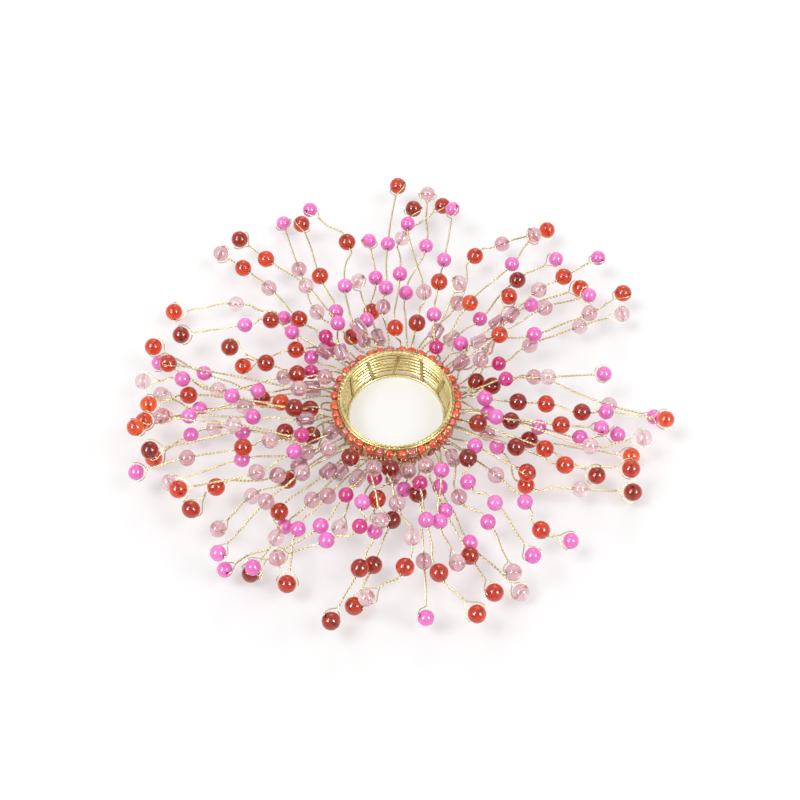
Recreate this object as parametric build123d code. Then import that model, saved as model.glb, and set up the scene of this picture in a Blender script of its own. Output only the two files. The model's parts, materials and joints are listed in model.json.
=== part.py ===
from build123d import *

import math
import os
from collections import namedtuple

import numpy as np

# Candle ring: a wound gold wire band that slips round the foot of a taper candle, with a burst of
# twisted wire stems that carry glass beads. Lengths are in millimetres. The origin is the centre
# of the candle bore on the plane that the ring stands on, +Z is up and -Y is the front.

# Ring band
CANDLE_BORE_RADIUS = 11.8
BAND_HEIGHT = 8.8
BAND_LEAN = 1.6
HOOP_WIDTH = 0.8
HOOP_HEIGHT = 0.8
HOOP_ROUNDING = 0.25
COIL_WIRE_RADIUS = 0.3
STRAND_RADIUS = 0.15
EYE_CLEARANCE = 0.07
EYE_CUT_SHARE = 0.33
TIE_CLEARANCE = 0.1
TIE_TO_COIL_SHARE = 0.5
TIE_ROUNDING = 0.3
BAYS = 12
QUARTER_STEPS = 12

# Seed beads in two rows outside the band, each row on its own hoop of thin wire
SEED_RADIUS = 1.1
SEED_LENGTH = 1.6
SEED_HOLE_RADIUS = 0.35
SEED_ROUNDING = 0.45
SEED_CLEARANCE = 0.1
LOWER_ROW_INSET = 1.5
UPPER_ROW_INSET = 0.3
SEEDS_PER_BAY = 3
SEED_COLOURS = "CCLCCCLCCLCC"
UPPER_ROW_COLOUR_SHIFT = 5

# Stems and the beads on them
STEM_RADIUS = 0.32
STEM_EYE_REACH = 0.95
STEM_LEG_GAP = 0.03
LEG_STRAIGHT = 0.2
LEG_OVERLAP = 0.2
BEAD_HOLE_RADIUS = 0.5
FORK_SIDE_ROOM = 0.75
FORK_REACH_SHARE = 2.0
FORK_NECK_SHARE = 0.8
FORK_ROUNDING = 0.6
FORK_TILT_DEGREES = 50.0
FORK_TILT_STEP = 2.4
EXIT_SHORTEST = 0.6
EXIT_LONGEST = 1.7
EXIT_RUN_SHARE = 0.3
ARC_MARGIN = 0.12
ARC_DRIFT = 0.2
CUT_SHARE = 0.45
SHORTEST_EDGE = 0.01
VOLUME_TOLERANCE_SHARE = 0.01
FIRST_RUN = 1.2
FIRST_RISE_SHARE = 0.25
LONG_RUN = 9.0
WANDER_SHARE = 0.05
TUBE_BEAD_ROUNDING = 0.7

Bead = namedtuple("Bead", "node diameter length")
BEADS = {
    "P": Bead("hot_pink", 4.0, 4.0),
    "G": Bead("garnet", 4.6, 4.6),
    "R": Bead("rose", 4.2, 4.2),
    "O": Bead("orange", 4.4, 4.4),
    "M": Bead("magenta", 3.9, 3.9),
    "T": Bead("mauve_tube", 3.4, 4.2),
}

# Where the beads of the burst lie: their heights above the ground at four distances from the axis
BURST_RADII = (17.0, 26.0, 45.0, 70.0)
BURST_LOWEST = (5.0, 5.5, 5.0, 4.5)
BURST_HIGHEST = (14.0, 14.5, 12.0, 8.5)
TIER_SHARE = 0.618

# How the beads make room for each other
BEAD_CLEARANCE = 0.25
WIRE_CLEARANCE = 0.35
GROUND_CLEARANCE = 0.4
RING_CLEARANCE = 0.3
SIDEWAYS_LIMIT = 0.9
LARGEST_MOVE = 0.6
STRAIGHTEN = 0.4
SHARP_TURN_SHARE = 0.5
SETTLED = 0.03
ROUNDS = 420
CULL_EVERY = 12
CULL_MARGIN = 4.0
STEP_SHARE = 0.45
SIDEWAYS_SHARE = 0.35
SIGHT_SHARE = 0.8
SPRING_SHARE = 0.02
LEVER_SHARE = 0.4
SLOT_TURN_SHARE = 0.17
PLACE_ROUNDS = 4
PLACE_DIGITS = 6
TINY = 1e-9

# The view in which the beads' places were read, in pixels of the picture
PICTURE_CENTRE = (400.0, 400.0)
FOCAL_PIXELS = 1600.0
MM_PER_PIXEL = 0.25
VIEW_ELEVATION_DEGREES = 58.0
AIM_X = 1.0
AIM_HEIGHT = 8.0

# One string for each stem, from its end bead inwards: the kind of bead and its pixel
STEM_PIXELS = (
    "G398,186 P388,244 P386,288 R383,307",
    "P369,241 P375,278 G371,311 T378,339",
    "G413,209 P408,224 R424,292 G417,323",
    "G443,206 R402,238 P400,274 O395,328",
    "R428,194 P426,246 P406,293",
    "P452,209 P444,260 G440,282 P434,315 M434,350",
    "R359,281 P370,321 T363,342",
    "P309,212 G347,242 P345,286 T355,327",
    "G301,222 G320,276 P336,311 T340,354",
    "P285,223 R299,269 R317,312 G353,337",
    "G239,240 G266,259 R306,286 P338,324",
    "R222,253 G243,268 R269,288 G299,319 M326,338",
    "G174,312 R236,304 P284,318 P311,357",
    "G181,335 P245,325 G271,320 P292,332",
    "O547,230 R502,244 G475,256 R458,301",
    "R534,235 P512,264 O470,303",
    "R458,285 T437,334",
    "P556,259 G518,280 P480,319 T451,338",
    "P598,258 G564,277 R539,290 T510,316 R481,360",
    "G580,288 P531,305 T498,323",
    "P589,296 R545,308 O499,335 T459,364",
    "G623,294 R589,313 P534,335 T478,342",
    "R622,313 R580,326 R530,345 M499,364",
    "P604,374 R548,377 M506,379",
    "P462,346",
    "G507,296 G473,383",
    "G154,349 P204,373 P258,390",
    "P158,361 R218,390 M311,372",
    "G169,364 R299,389",
    "G232,349 G266,363 G297,374 R326,377",
    "O242,365 G296,350 M330,348",
    "R143,382 P183,379 P232,396 G295,409",
    "O151,407 G189,395 O281,403",
    "R160,398 P199,408 G262,399",
    "O138,425 P189,416 P253,417 T305,418",
    "O146,418 R245,406 G310,409",
    "R160,418 R234,425 M302,436",
    "G149,451 P242,432 G315,437",
    "G154,458 P191,435 R214,428 G285,432",
    "P137,471 R187,458 G243,448 R270,440 R329,449",
    "R169,483 P242,459 R307,453",
    "G179,491 R257,473 P294,452",
    "G190,507 G216,487 R278,475",
    "R218,529 R252,496 G287,480",
    "P219,555 R267,502 R302,473",
    "P226,569 R276,538 G279,512",
    "G249,575 P284,526 R312,500",
    "P254,568 P321,526 M346,495",
    "G287,584 P298,529 R328,496",
    "R276,558 P326,540 M361,527 P362,502",
    "G331,621 G360,568 P375,531 G377,499",
    "G355,605 G373,565 G392,520 P404,489",
    "R366,598 G405,567 R412,537 R397,503 G390,468",
    "R339,528 T358,477",
    "R380,521 R374,468",
    "G351,458",
    "P426,618 R424,561 G418,494 R408,470",
    "G477,614 G440,572 P427,520 M420,483",
    "G494,592 G469,556 P445,511 R424,467",
    "R520,591 P470,543 P440,487",
    "R457,563 P439,521 P441,470",
    "R516,574 P488,522 R459,497 T452,456",
    "P531,557 P495,503 P468,482 G468,458",
    "P568,540 G544,531 P525,502 R496,475",
    "G633,491 R580,489 O526,485 P497,447",
    "G631,470 G565,465 G516,447",
    "G597,475 G545,449 G478,424",
    "O632,455 G530,439 R487,433",
    "R643,439 R590,446 G511,421",
    "P617,435 P580,438 P538,428 P488,412",
    "P601,428 G561,425 P496,417",
    "O665,419 P606,412 G582,412 G546,404 G518,402 P485,399",
    "P655,417 R609,405 R534,377 G490,383",
    "G527,473 P475,446",
)

# The end beads that turn on the wire of their fork as pieces of their own
TURNING_TIPS = 24
WHOLE_RING_KINDS = ("orange", "magenta", "mauve_tube")
SECTORS = ("right", "back_right", "back_left", "left", "front_left", "front_right")

# What the sizes above give
FORWARD = np.array(
    [
        0.0,
        math.cos(math.radians(VIEW_ELEVATION_DEGREES)),
        -math.sin(math.radians(VIEW_ELEVATION_DEGREES)),
    ]
)
UPWARD = np.array(
    [
        0.0,
        math.sin(math.radians(VIEW_ELEVATION_DEGREES)),
        math.cos(math.radians(VIEW_ELEVATION_DEGREES)),
    ]
)
RIGHTWARD = np.array([1.0, 0.0, 0.0])
EYE = np.array([AIM_X, 0.0, AIM_HEIGHT]) - FORWARD * FOCAL_PIXELS * MM_PER_PIXEL
COIL_RECESS = 2 * STRAND_RADIUS + (1 + TIE_TO_COIL_SHARE) * TIE_CLEARANCE
COIL_PITCH_WANTED = 2 * COIL_WIRE_RADIUS + 2 * STRAND_RADIUS + 2 * EYE_CLEARANCE
COIL_START = HOOP_HEIGHT + COIL_RECESS + COIL_WIRE_RADIUS
COIL_RISE = BAND_HEIGHT - 2 * COIL_START
COIL_QUARTERS = math.floor(4 * COIL_RISE / COIL_PITCH_WANTED)
COIL_PITCH = 4 * COIL_RISE / COIL_QUARTERS
LOWER_ROW_HEIGHT = LOWER_ROW_INSET + SEED_RADIUS
UPPER_ROW_HEIGHT = BAND_HEIGHT - UPPER_ROW_INSET - SEED_RADIUS
LEG_OFFSET = STRAND_RADIUS + STEM_LEG_GAP / 2


def bore_line(height):
    """Radius of the cone that the inside of the band follows, at a height."""
    return CANDLE_BORE_RADIUS + BAND_LEAN * height / BAND_HEIGHT


def coil_radius(height):
    """Radius of the centre line of the band's coil, at a height."""
    return bore_line(height) + COIL_RECESS + COIL_WIRE_RADIUS


def row_radius(height):
    """Radius of the hoop that a row of seed beads is strung on."""
    return coil_radius(height) + COIL_WIRE_RADIUS + SEED_CLEARANCE + SEED_RADIUS


RING_REACH = row_radius(UPPER_ROW_HEIGHT) + SEED_RADIUS
EXIT_RADIUS = RING_REACH + STEM_RADIUS + SEED_CLEARANCE
WINDOW_LOW = LOWER_ROW_HEIGHT + SEED_RADIUS + STEM_RADIUS + SEED_CLEARANCE
WINDOW_HIGH = UPPER_ROW_HEIGHT - SEED_RADIUS - STEM_RADIUS - SEED_CLEARANCE


def unit(vector):
    """A vector, or each row of an array of them, at length one."""
    return vector / np.linalg.norm(vector, axis=-1, keepdims=True)


def around(radius, angle, height):
    """The point at a radius, an angle in radians and a height."""
    return np.array([radius * math.cos(angle), radius * math.sin(angle), height])


def sight(pixel):
    """Direction from the eye through a pixel of the picture."""
    across = pixel[0] - PICTURE_CENTRE[0]
    up = PICTURE_CENTRE[1] - pixel[1]
    return unit(FORWARD * FOCAL_PIXELS + RIGHTWARD * across + UPWARD * up)


def on_sight(pixel, height):
    """The point at a height that shows at a pixel."""
    direction = sight(pixel)
    return EYE + direction * (height - EYE[2]) / direction[2]


def start_place(pixel, tier):
    """First place of a bead: between the burst's lowest and highest level, as its tier says."""
    point = on_sight(pixel, AIM_HEIGHT)
    for _ in range(PLACE_ROUNDS):
        distance = math.hypot(point[0], point[1])
        low = np.interp(distance, BURST_RADII, BURST_LOWEST)
        high = np.interp(distance, BURST_RADII, BURST_HIGHEST)
        point = on_sight(pixel, low + (high - low) * tier)
    return point


def read_stem(text):
    """The kinds and pixels in one string of the table, from the ring outwards."""
    kinds, pixels = [], []
    for word in reversed(text.split()):
        kinds.append(word[0])
        pixels.append(tuple(float(number) for number in word[1:].split(",")))
    return kinds, pixels


def root_slots(count):
    """For each stem's eye, its angle between the ties and the heights of the turns it can hook."""
    slots = []
    bay = 2 * math.pi / BAYS
    tie_room = (2 * STRAND_RADIUS + STEM_RADIUS + 2 * TIE_CLEARANCE) / coil_radius(WINDOW_LOW)
    for number in range(BAYS):
        first = math.ceil(number * count / BAYS)
        last = math.ceil((number + 1) * count / BAYS)
        stems = last - first
        for place in range(stems):
            share = (place + 0.5) / stems
            angle = number * bay + tie_room + (bay - 2 * tie_room) * share
            turn_height = COIL_START + COIL_PITCH * angle / (2 * math.pi)
            low_turn = math.ceil((WINDOW_LOW - turn_height) / COIL_PITCH)
            high_turn = math.floor((WINDOW_HIGH - turn_height) / COIL_PITCH)
            heights = [turn_height + turn * COIL_PITCH for turn in (low_turn, high_turn)]
            slots.append((angle, heights))
    return slots


class Burst:
    """The stems and beads as chains of places, from the ring outwards, that make room."""

    def __init__(self):
        stems = []
        for number, text in enumerate(STEM_PIXELS):
            kinds, pixels = read_stem(text)
            tier = (number + 1) * TIER_SHARE % 1.0
            places = [start_place(pixel, tier) for pixel in pixels]
            angle = math.atan2(places[0][1], places[0][0]) % (2 * math.pi)
            stems.append((angle, kinds, pixels, places, tier))
        stems.sort(key=lambda stem: stem[0])
        slots = self.best_slots([stem[0] for stem in stems], root_slots(len(stems)))
        self.kind, self.stem, self.home, self.sight = [], [], [], []
        self.roots = []
        self.tiers = [stem[4] for stem in stems]
        for number, (_, kinds, pixels, places, _) in enumerate(stems):
            angle, heights = slots[number]
            height = heights[1] if places[0][2] > AIM_HEIGHT else heights[0]
            self.roots.append((angle, height))
            start = around(coil_radius(height) + STEM_EYE_REACH, angle, height)
            leave = around(EXIT_RADIUS, angle, height)
            self.add("start", number, start, FORWARD)
            self.add("leave", number, leave, FORWARD)
            first = around(EXIT_RADIUS + FIRST_RUN, angle, height)
            first[2] += (places[0][2] - height) * FIRST_RISE_SHARE
            self.add("bend", number, first, FORWARD)
            before = first
            for kind, pixel, place in zip(kinds, pixels, places):
                run = place - before
                if np.linalg.norm(run) > LONG_RUN:
                    turned = np.cross(run, UPWARD) * WANDER_SHARE * (-1) ** len(self.kind)
                    self.add("bend", number, (before + place) / 2 + turned, FORWARD)
                self.add(kind, number, place, sight(pixel))
                before = place
        self.stem = np.array(self.stem)
        self.home = np.array(self.home)
        self.sight = np.array(self.sight)
        self.centre = self.home.copy()
        self.last = np.append(self.stem[1:] != self.stem[:-1], True)
        self.bead = np.array([kind in BEADS for kind in self.kind])
        self.fixed = np.array([kind in ("start", "leave") for kind in self.kind])
        self.tip = self.bead & self.last
        self.half = np.array([BEADS[k].length / 2 if k in BEADS else 0.0 for k in self.kind])
        self.radius = np.array([self.reach(k) for k in self.kind])
        self.tightest = math.inf
        self.capsules()

    def add(self, kind, number, place, direction):
        """One more place on a chain."""
        self.kind.append(kind)
        self.stem.append(number)
        self.home.append(place)
        self.sight.append(direction)

    @staticmethod
    def reach(kind):
        """Radius of the ball that a bead fills, or the wire's radius at a bend."""
        if kind not in BEADS:
            return STEM_RADIUS
        bead = BEADS[kind]
        if kind != "T":
            return bead.diameter / 2
        flat = np.array([bead.diameter, bead.length]) / 2 - TUBE_BEAD_ROUNDING
        return np.linalg.norm(flat) + TUBE_BEAD_ROUNDING

    @staticmethod
    def best_slots(angles, slots):
        """The slots turned round to the stems that they serve with the least bending."""
        best = None
        furthest = round(SLOT_TURN_SHARE * len(slots))
        for shift in range(-furthest, furthest):
            turned = slots[shift:] + slots[:shift]
            apart = [math.remainder(a - s[0], 2 * math.pi) for a, s in zip(angles, turned)]
            cost = sum(value * value for value in apart)
            if best is None or cost < best[0]:
                best = (cost, turned)
        return best[1]

    def directions(self, centre):
        """The way that the wire goes through each place of the chains."""
        before = np.roll(centre, 1, axis=0)
        after = np.where(self.last[:, None], centre, np.roll(centre, -1, axis=0))
        first = np.array([kind == "start" for kind in self.kind])
        before = np.where(first[:, None], centre, before)
        return unit(after - before)

    def fork_reach(self):
        """Distance from each end bead's centre back to where its two wires meet."""
        return self.radius * FORK_REACH_SHARE

    def exits(self, centre):
        """How far the wire runs straight past each place, inwards and outwards."""
        gap = np.linalg.norm(np.roll(centre, -1, axis=0) - centre, axis=1)
        ahead = np.roll(np.where(self.tip, self.fork_reach(), self.half), -1)
        free = (gap - self.half - ahead) * EXIT_RUN_SHARE
        outward = np.clip(free, EXIT_SHORTEST, EXIT_LONGEST)
        inward = np.roll(outward, 1)
        return inward, outward

    def corners(self, centre):
        """Where the wire turns: each bead's two sides, each bend, and each fork's root."""
        way = self.directions(centre)
        inward, outward = self.exits(centre)
        inline = (self.bead & ~self.tip)[:, None]
        enter = np.where(inline, centre - way * (self.half + inward)[:, None], centre)
        leave = np.where(inline, centre + way * (self.half + outward)[:, None], centre)
        fork = centre - way * self.fork_reach()[:, None]
        enter = np.where(self.tip[:, None], fork, enter)
        return way, enter, leave

    def capsules(self):
        """What keeps clear: balls round beads and fork necks, and the stretches of wire."""
        number = np.arange(len(self.kind))
        beads = number[self.bead]
        tips = number[self.tip]
        inline = number[self.bead & ~self.tip]
        runs = number[~self.last]
        self.first_node = np.concatenate([beads, tips, inline, runs])
        self.last_node = np.concatenate([beads, tips, inline, runs + 1])
        fork = FORK_SIDE_ROOM + STRAND_RADIUS
        sizes = [
            self.radius[beads] + np.where(self.tip[beads], fork, 0.0),
            self.radius[tips] / 2,
            np.full(len(inline), STEM_RADIUS),
            np.full(len(runs), STEM_RADIUS),
        ]
        self.size = np.concatenate(sizes)
        self.wire = np.arange(len(self.size)) >= len(beads)
        self.parts = (beads, tips, inline, runs)
        one, two = np.triu_indices(len(self.size), 1)
        same = self.stem[self.first_node[one]] == self.stem[self.first_node[two]]
        low = np.maximum(self.first_node[one], self.first_node[two])
        high = np.minimum(self.last_node[one], self.last_node[two])
        keep = ~(same & (low - high <= 0))
        still = self.fixed[self.first_node] & self.fixed[self.last_node]
        keep &= ~(still[one] & still[two])
        self.pairs = one[keep], two[keep]

    def capsule_ends(self, centre):
        """Both ends of each capsule's axis."""
        beads, tips, inline, runs = self.parts
        way, enter, leave = self.corners(centre)
        neck = centre[tips] - way[tips] * (self.fork_reach()[tips] * FORK_NECK_SHARE)[:, None]
        start = np.concatenate([centre[beads], neck, enter[inline], leave[runs]])
        end = np.concatenate([centre[beads], neck, leave[inline], enter[runs + 1]])
        return start, end

    def nearest(self, start, end, one, two):
        """Shares along two axes of their nearest points, and the vector between these."""
        d1, d2 = end[one] - start[one], end[two] - start[two]
        offset = start[one] - start[two]
        a = np.sum(d1 * d1, axis=1) + TINY
        e = np.sum(d2 * d2, axis=1) + TINY
        b = np.sum(d1 * d2, axis=1)
        c = np.sum(d1 * offset, axis=1)
        f = np.sum(d2 * offset, axis=1)
        s = np.clip((b * f - c * e) / np.maximum(a * e - b * b, TINY), 0.0, 1.0)
        t = np.clip((b * s + f) / e, 0.0, 1.0)
        s = np.clip((b * t - c) / a, 0.0, 1.0)
        return s, t, offset + d1 * s[:, None] - d2 * t[:, None]

    def wanted(self, one, two):
        """Least distance between the axes of two capsules."""
        clear = np.where(self.wire[one] | self.wire[two], WIRE_CLEARANCE, BEAD_CLEARANCE)
        return self.size[one] + self.size[two] + clear

    def near_pairs(self, start, end):
        """The pairs that are close enough to touch within the next rounds."""
        one, two = self.pairs
        middle = (start + end) / 2
        length = np.linalg.norm(end - start, axis=1) / 2 + self.size
        apart = np.linalg.norm(middle[one] - middle[two], axis=1)
        close = apart < length[one] + length[two] + CULL_MARGIN
        return one[close], two[close]

    def push_pairs(self, centre, one, two, push):
        """Adds to push what takes the overlapping pairs apart, mostly along the line of sight."""
        start, end = self.capsule_ends(centre)
        s, t, between = self.nearest(start, end, one, two)
        distance = np.linalg.norm(between, axis=1)
        lack = self.wanted(one, two) - distance
        hit = lack > 0
        one, two, s, t, lack = one[hit], two[hit], s[hit], t[hit], lack[hit]
        way = between[hit] / np.maximum(distance[hit], TINY)[:, None]
        along = np.round(way @ FORWARD, PLACE_DIGITS)
        tiers = np.array(self.tiers)
        order = tiers[self.stem[self.first_node[two]]] - tiers[self.stem[self.first_node[one]]]
        side = np.where(along != 0, np.sign(along), np.sign(order + TINY))
        way = way + FORWARD * (side * SIGHT_SHARE)[:, None]
        move = way * (lack / 2)[:, None]
        s = np.where(self.fixed[self.first_node[one]], np.maximum(s, LEVER_SHARE), s)
        t = np.where(self.fixed[self.first_node[two]], np.maximum(t, LEVER_SHARE), t)
        np.add.at(push, self.first_node[one], move * (1 - s)[:, None])
        np.add.at(push, self.last_node[one], move * s[:, None])
        np.add.at(push, self.first_node[two], -move * (1 - t)[:, None])
        np.add.at(push, self.last_node[two], -move * t[:, None])
        return lack.max() if len(lack) else 0.0

    def push_chain(self, centre, push):
        """Adds to push what keeps neighbours on one wire far enough apart."""
        behind = np.flatnonzero(~self.last)
        ahead = behind + 1
        run = centre[ahead] - centre[behind]
        length = np.linalg.norm(run, axis=1)
        reach = np.where(self.tip, self.fork_reach(), self.half) + EXIT_SHORTEST
        lack = np.maximum(reach[behind] + reach[ahead] - length, 0.0)
        move = unit(run) * (lack / 2)[:, None]
        np.add.at(push, ahead, move)
        np.add.at(push, behind, -move)
        inner = ahead[~self.last[ahead]]
        into = unit(centre[inner] - centre[inner - 1])
        out = unit(centre[inner + 1] - centre[inner])
        excess = np.maximum(SHARP_TURN_SHARE - np.sum(into * out, axis=1), 0.0)[:, None]
        move = (out - into) * excess * STRAIGHTEN
        np.add.at(push, inner, move)
        np.add.at(push, inner - 1, -move / 2)
        np.add.at(push, inner + 1, -move / 2)

    def push_bounds(self, centre, push):
        """Adds to push what keeps each place off the ground and outside the ring."""
        reach = self.radius + np.where(self.tip, FORK_SIDE_ROOM + STRAND_RADIUS, 0.0)
        push[:, 2] += np.maximum(reach + GROUND_CLEARANCE - centre[:, 2], 0.0)
        axis_distance = np.hypot(centre[:, 0], centre[:, 1])
        outward = np.stack([centre[:, 0], centre[:, 1], np.zeros(len(centre))], axis=1)
        outward /= axis_distance[:, None]
        beside = axis_distance - RING_REACH
        above = centre[:, 2] - BAND_HEIGHT
        room = np.hypot(np.maximum(beside, 0.0), np.maximum(above, 0.0))
        lack = np.maximum(reach + RING_CLEARANCE - room, 0.0)
        lack = np.where(beside > 0, lack, lack - beside) * (above < reach)
        over = bore_line(BAND_HEIGHT) + HOOP_WIDTH + reach - axis_distance
        push += outward * (lack + np.maximum(over, 0.0))[:, None]

    def name_tips(self):
        """Names the end beads that lie furthest out, in order of their angle."""
        tips = np.flatnonzero(self.tip)
        distance = np.hypot(self.centre[tips, 0], self.centre[tips, 1])
        outer = tips[np.argsort(-distance)[:TURNING_TIPS]]
        angle = np.arctan2(self.centre[outer, 1], self.centre[outer, 0])
        self.tip_names = {}
        for number, place in enumerate(outer[np.argsort(angle)], start=1):
            self.tip_names[place] = f"{BEADS[self.kind[place]].node}_tip_bead_{number:02d}"

    def node_of(self, place):
        """Name of the node that a bead is in."""
        if place in self.tip_names:
            return self.tip_names[place]
        kind = BEADS[self.kind[place]].node
        if kind in WHOLE_RING_KINDS:
            return f"{kind}_beads"
        end = self.centre[self.tip & (self.stem == self.stem[place])][0]
        return f"{sector_name(math.atan2(end[1], end[0]))}_{kind}_beads"

    def settle(self):
        """Moves beads along their lines of sight, and bends freely, until nothing touches."""
        centre = self.centre
        free = ~self.fixed
        bends = np.flatnonzero(free & ~self.bead)
        for turn in range(ROUNDS):
            if turn % CULL_EVERY == 0:
                one, two = self.near_pairs(*self.capsule_ends(centre))
            push = np.zeros_like(centre)
            worst = self.push_pairs(centre, one, two, push)
            self.push_chain(centre, push)
            self.push_bounds(centre, push)
            along = np.sum(push * self.sight, axis=1)[:, None] * self.sight
            push = np.where(self.bead[:, None], along + (push - along) * SIDEWAYS_SHARE, push)
            push *= STEP_SHARE
            length = np.linalg.norm(push, axis=1)
            push *= np.minimum(1.0, LARGEST_MOVE / np.maximum(length, TINY))[:, None]
            centre = np.where(free[:, None], centre + push, centre)
            fade = SPRING_SHARE * (1 - turn / ROUNDS) ** 2
            centre[free] += (self.home[free] - centre[free]) * fade
            centre[bends] += ((centre[bends - 1] + centre[bends + 1]) / 2 - centre[bends]) * fade
            away = centre - self.home
            side = away - np.sum(away * self.sight, axis=1)[:, None] * self.sight
            length = np.linalg.norm(side, axis=1)
            over = np.maximum(1 - SIDEWAYS_LIMIT / np.maximum(length, TINY), 0.0)
            centre -= np.where(self.bead, over, 0.0)[:, None] * side
            centre = np.round(centre, PLACE_DIGITS)
            if worst < SETTLED:
                break
        self.centre = centre
        one, two = self.pairs
        _, _, between = self.nearest(*self.capsule_ends(centre), one, two)
        spare = np.linalg.norm(between, axis=1) - self.size[one] - self.size[two]
        print("settled after", turn, "rounds, least gap", round(float(spare.min()), 3))


def turn_angle(before, corner, after):
    """Angle in radians by which a path turns at a corner."""
    cosine = float(unit(corner - before) @ unit(after - corner))
    return math.acos(max(-1.0, min(1.0, cosine)))


def rounded_wire(points, cuts, closed=False):
    """A path of straight runs joined by tangent arcs. Each cut is how far from its corner an arc
    starts. A closed path starts in the middle of its last side."""
    corners = list(zip(points, cuts)) if closed else list(zip(points, cuts))[1:-1]
    here = (points[-1] + points[0]) / 2 if closed else points[0]
    final = here if closed else points[-1]
    edges = []
    for number, (corner, cut) in enumerate(corners):
        after = corners[number + 1][0] if number + 1 < len(corners) else final
        into, out = unit(corner - here), unit(after - corner)
        start, end = corner - into * cut, corner + out * cut
        half_turn = turn_angle(here, corner, after) / 2
        bow = unit(out - into) * cut * (1 - math.cos(half_turn)) / math.sin(half_turn)
        if np.linalg.norm(start - here) > SHORTEST_EDGE:
            edges.append(Edge.make_line(tuple(here), tuple(start)))
        else:
            start = here
        edges.append(Edge.make_three_point_arc(tuple(start), tuple(corner + bow), tuple(end)))
        here = end
    edges.append(Edge.make_line(tuple(here), tuple(final)))
    return Wire(edges)


def round_tube(wire, radius):
    """A round bar along a path, checked against its section times its length."""
    section = Plane(origin=wire @ 0, z_dir=wire % 0) * Circle(radius)
    bar = sweep(section, path=wire)
    share = bar.volume / (math.pi * radius * radius * wire.length)
    if abs(share - 1) > VOLUME_TOLERANCE_SHARE:
        print("tube volume share", round(share, 4))
    return bar.solid()


def loop_around(root, way, side, corners, cuts):
    """The loop that the two strands of a stem open into: from the stem's end, round the corners
    on one side, and back along the same corners mirrored."""
    first = root + side * LEG_OFFSET - way * LEG_OVERLAP
    straight = root + side * LEG_OFFSET + way * LEG_STRAIGHT
    near = [first, straight] + [root + way * a + side * b for a, b in corners]
    far = [point - 2 * side * float((point - root) @ side) for point in reversed(near)]
    cuts = [0.0, LEG_STRAIGHT / 2] + cuts
    return round_tube(rounded_wire(near + far, cuts + cuts[::-1]), STRAND_RADIUS)


def fork(centre, way, side, kind):
    """The open end of a stem, which runs crosswise through its end bead."""
    reach = BEADS[kind].diameter / 2
    width = reach + FORK_SIDE_ROOM
    root = centre - way * reach * FORK_REACH_SHARE
    return loop_around(root, way, side, [(reach * FORK_REACH_SHARE, width)], [FORK_ROUNDING])


def coil_eye(angle, height):
    """The closed end of a stem, hooked round one turn of the band's coil."""
    way = around(-1.0, angle, 0.0)
    side = np.array([0.0, 0.0, 1.0])
    root = around(coil_radius(height) + STEM_EYE_REACH, angle, height)
    width = COIL_WIRE_RADIUS + EYE_CLEARANCE + STRAND_RADIUS
    front = STEM_EYE_REACH - COIL_WIRE_RADIUS
    corners = [(front, width), (STEM_EYE_REACH + width, width)]
    cuts = [width * EYE_CUT_SHARE, width - STRAND_RADIUS * EYE_CUT_SHARE]
    return loop_around(root, way, side, corners, cuts)


def stem_path(burst, number):
    """Corner points of a stem from its eye to the root of its fork, and the arcs' cuts."""
    way, enter, leave = burst.corners(burst.centre)
    inward, outward = burst.exits(burst.centre)
    points, limits = [], []
    for place in np.flatnonzero(burst.stem == number):
        if burst.bead[place] and not burst.tip[place]:
            points += [enter[place], leave[place]]
            limits += [inward[place] - ARC_MARGIN, outward[place] - ARC_MARGIN]
        else:
            points.append(enter[place])
            limits.append(LONG_RUN)
    cuts = [0.0] * len(points)
    for corner in range(1, len(points) - 1):
        before, here, after = points[corner - 1 : corner + 2]
        shorter = min(np.linalg.norm(here - before), np.linalg.norm(after - here))
        angle = turn_angle(before, here, after)
        drift = ARC_DRIFT / (1 / math.cos(angle / 2) - 1) * math.tan(angle / 2)
        cuts[corner] = min(CUT_SHARE * shorter, limits[corner], drift)
    return points, cuts


def stem(burst, number):
    """One stem: the twisted pair as one round bar, its eye and its fork."""
    points, cuts = stem_path(burst, number)
    bends = []
    for corner in range(1, len(points) - 1):
        angle = turn_angle(*points[corner - 1 : corner + 2])
        bends.append(cuts[corner] / math.tan(angle / 2))
    burst.tightest = min(burst.tightest, min(bends))
    place = np.flatnonzero(burst.stem == number)[-1]
    way, side = fork_directions(burst, place)
    bar = round_tube(rounded_wire(points, cuts), STEM_RADIUS)
    end = fork(burst.centre[place], way, side, burst.kind[place])
    return bar.fuse(end, coil_eye(*burst.roots[number])).solid()


def fork_directions(burst, place):
    """The way a stem points at its fork, and the direction of the wire through its end bead."""
    way = burst.directions(burst.centre)[place]
    level = unit(np.cross(way, [0.0, 0.0, 1.0]))
    tilt = math.radians(FORK_TILT_DEGREES) * math.sin(FORK_TILT_STEP * place)
    return way, level * math.cos(tilt) + np.cross(way, level) * math.sin(tilt)


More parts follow.
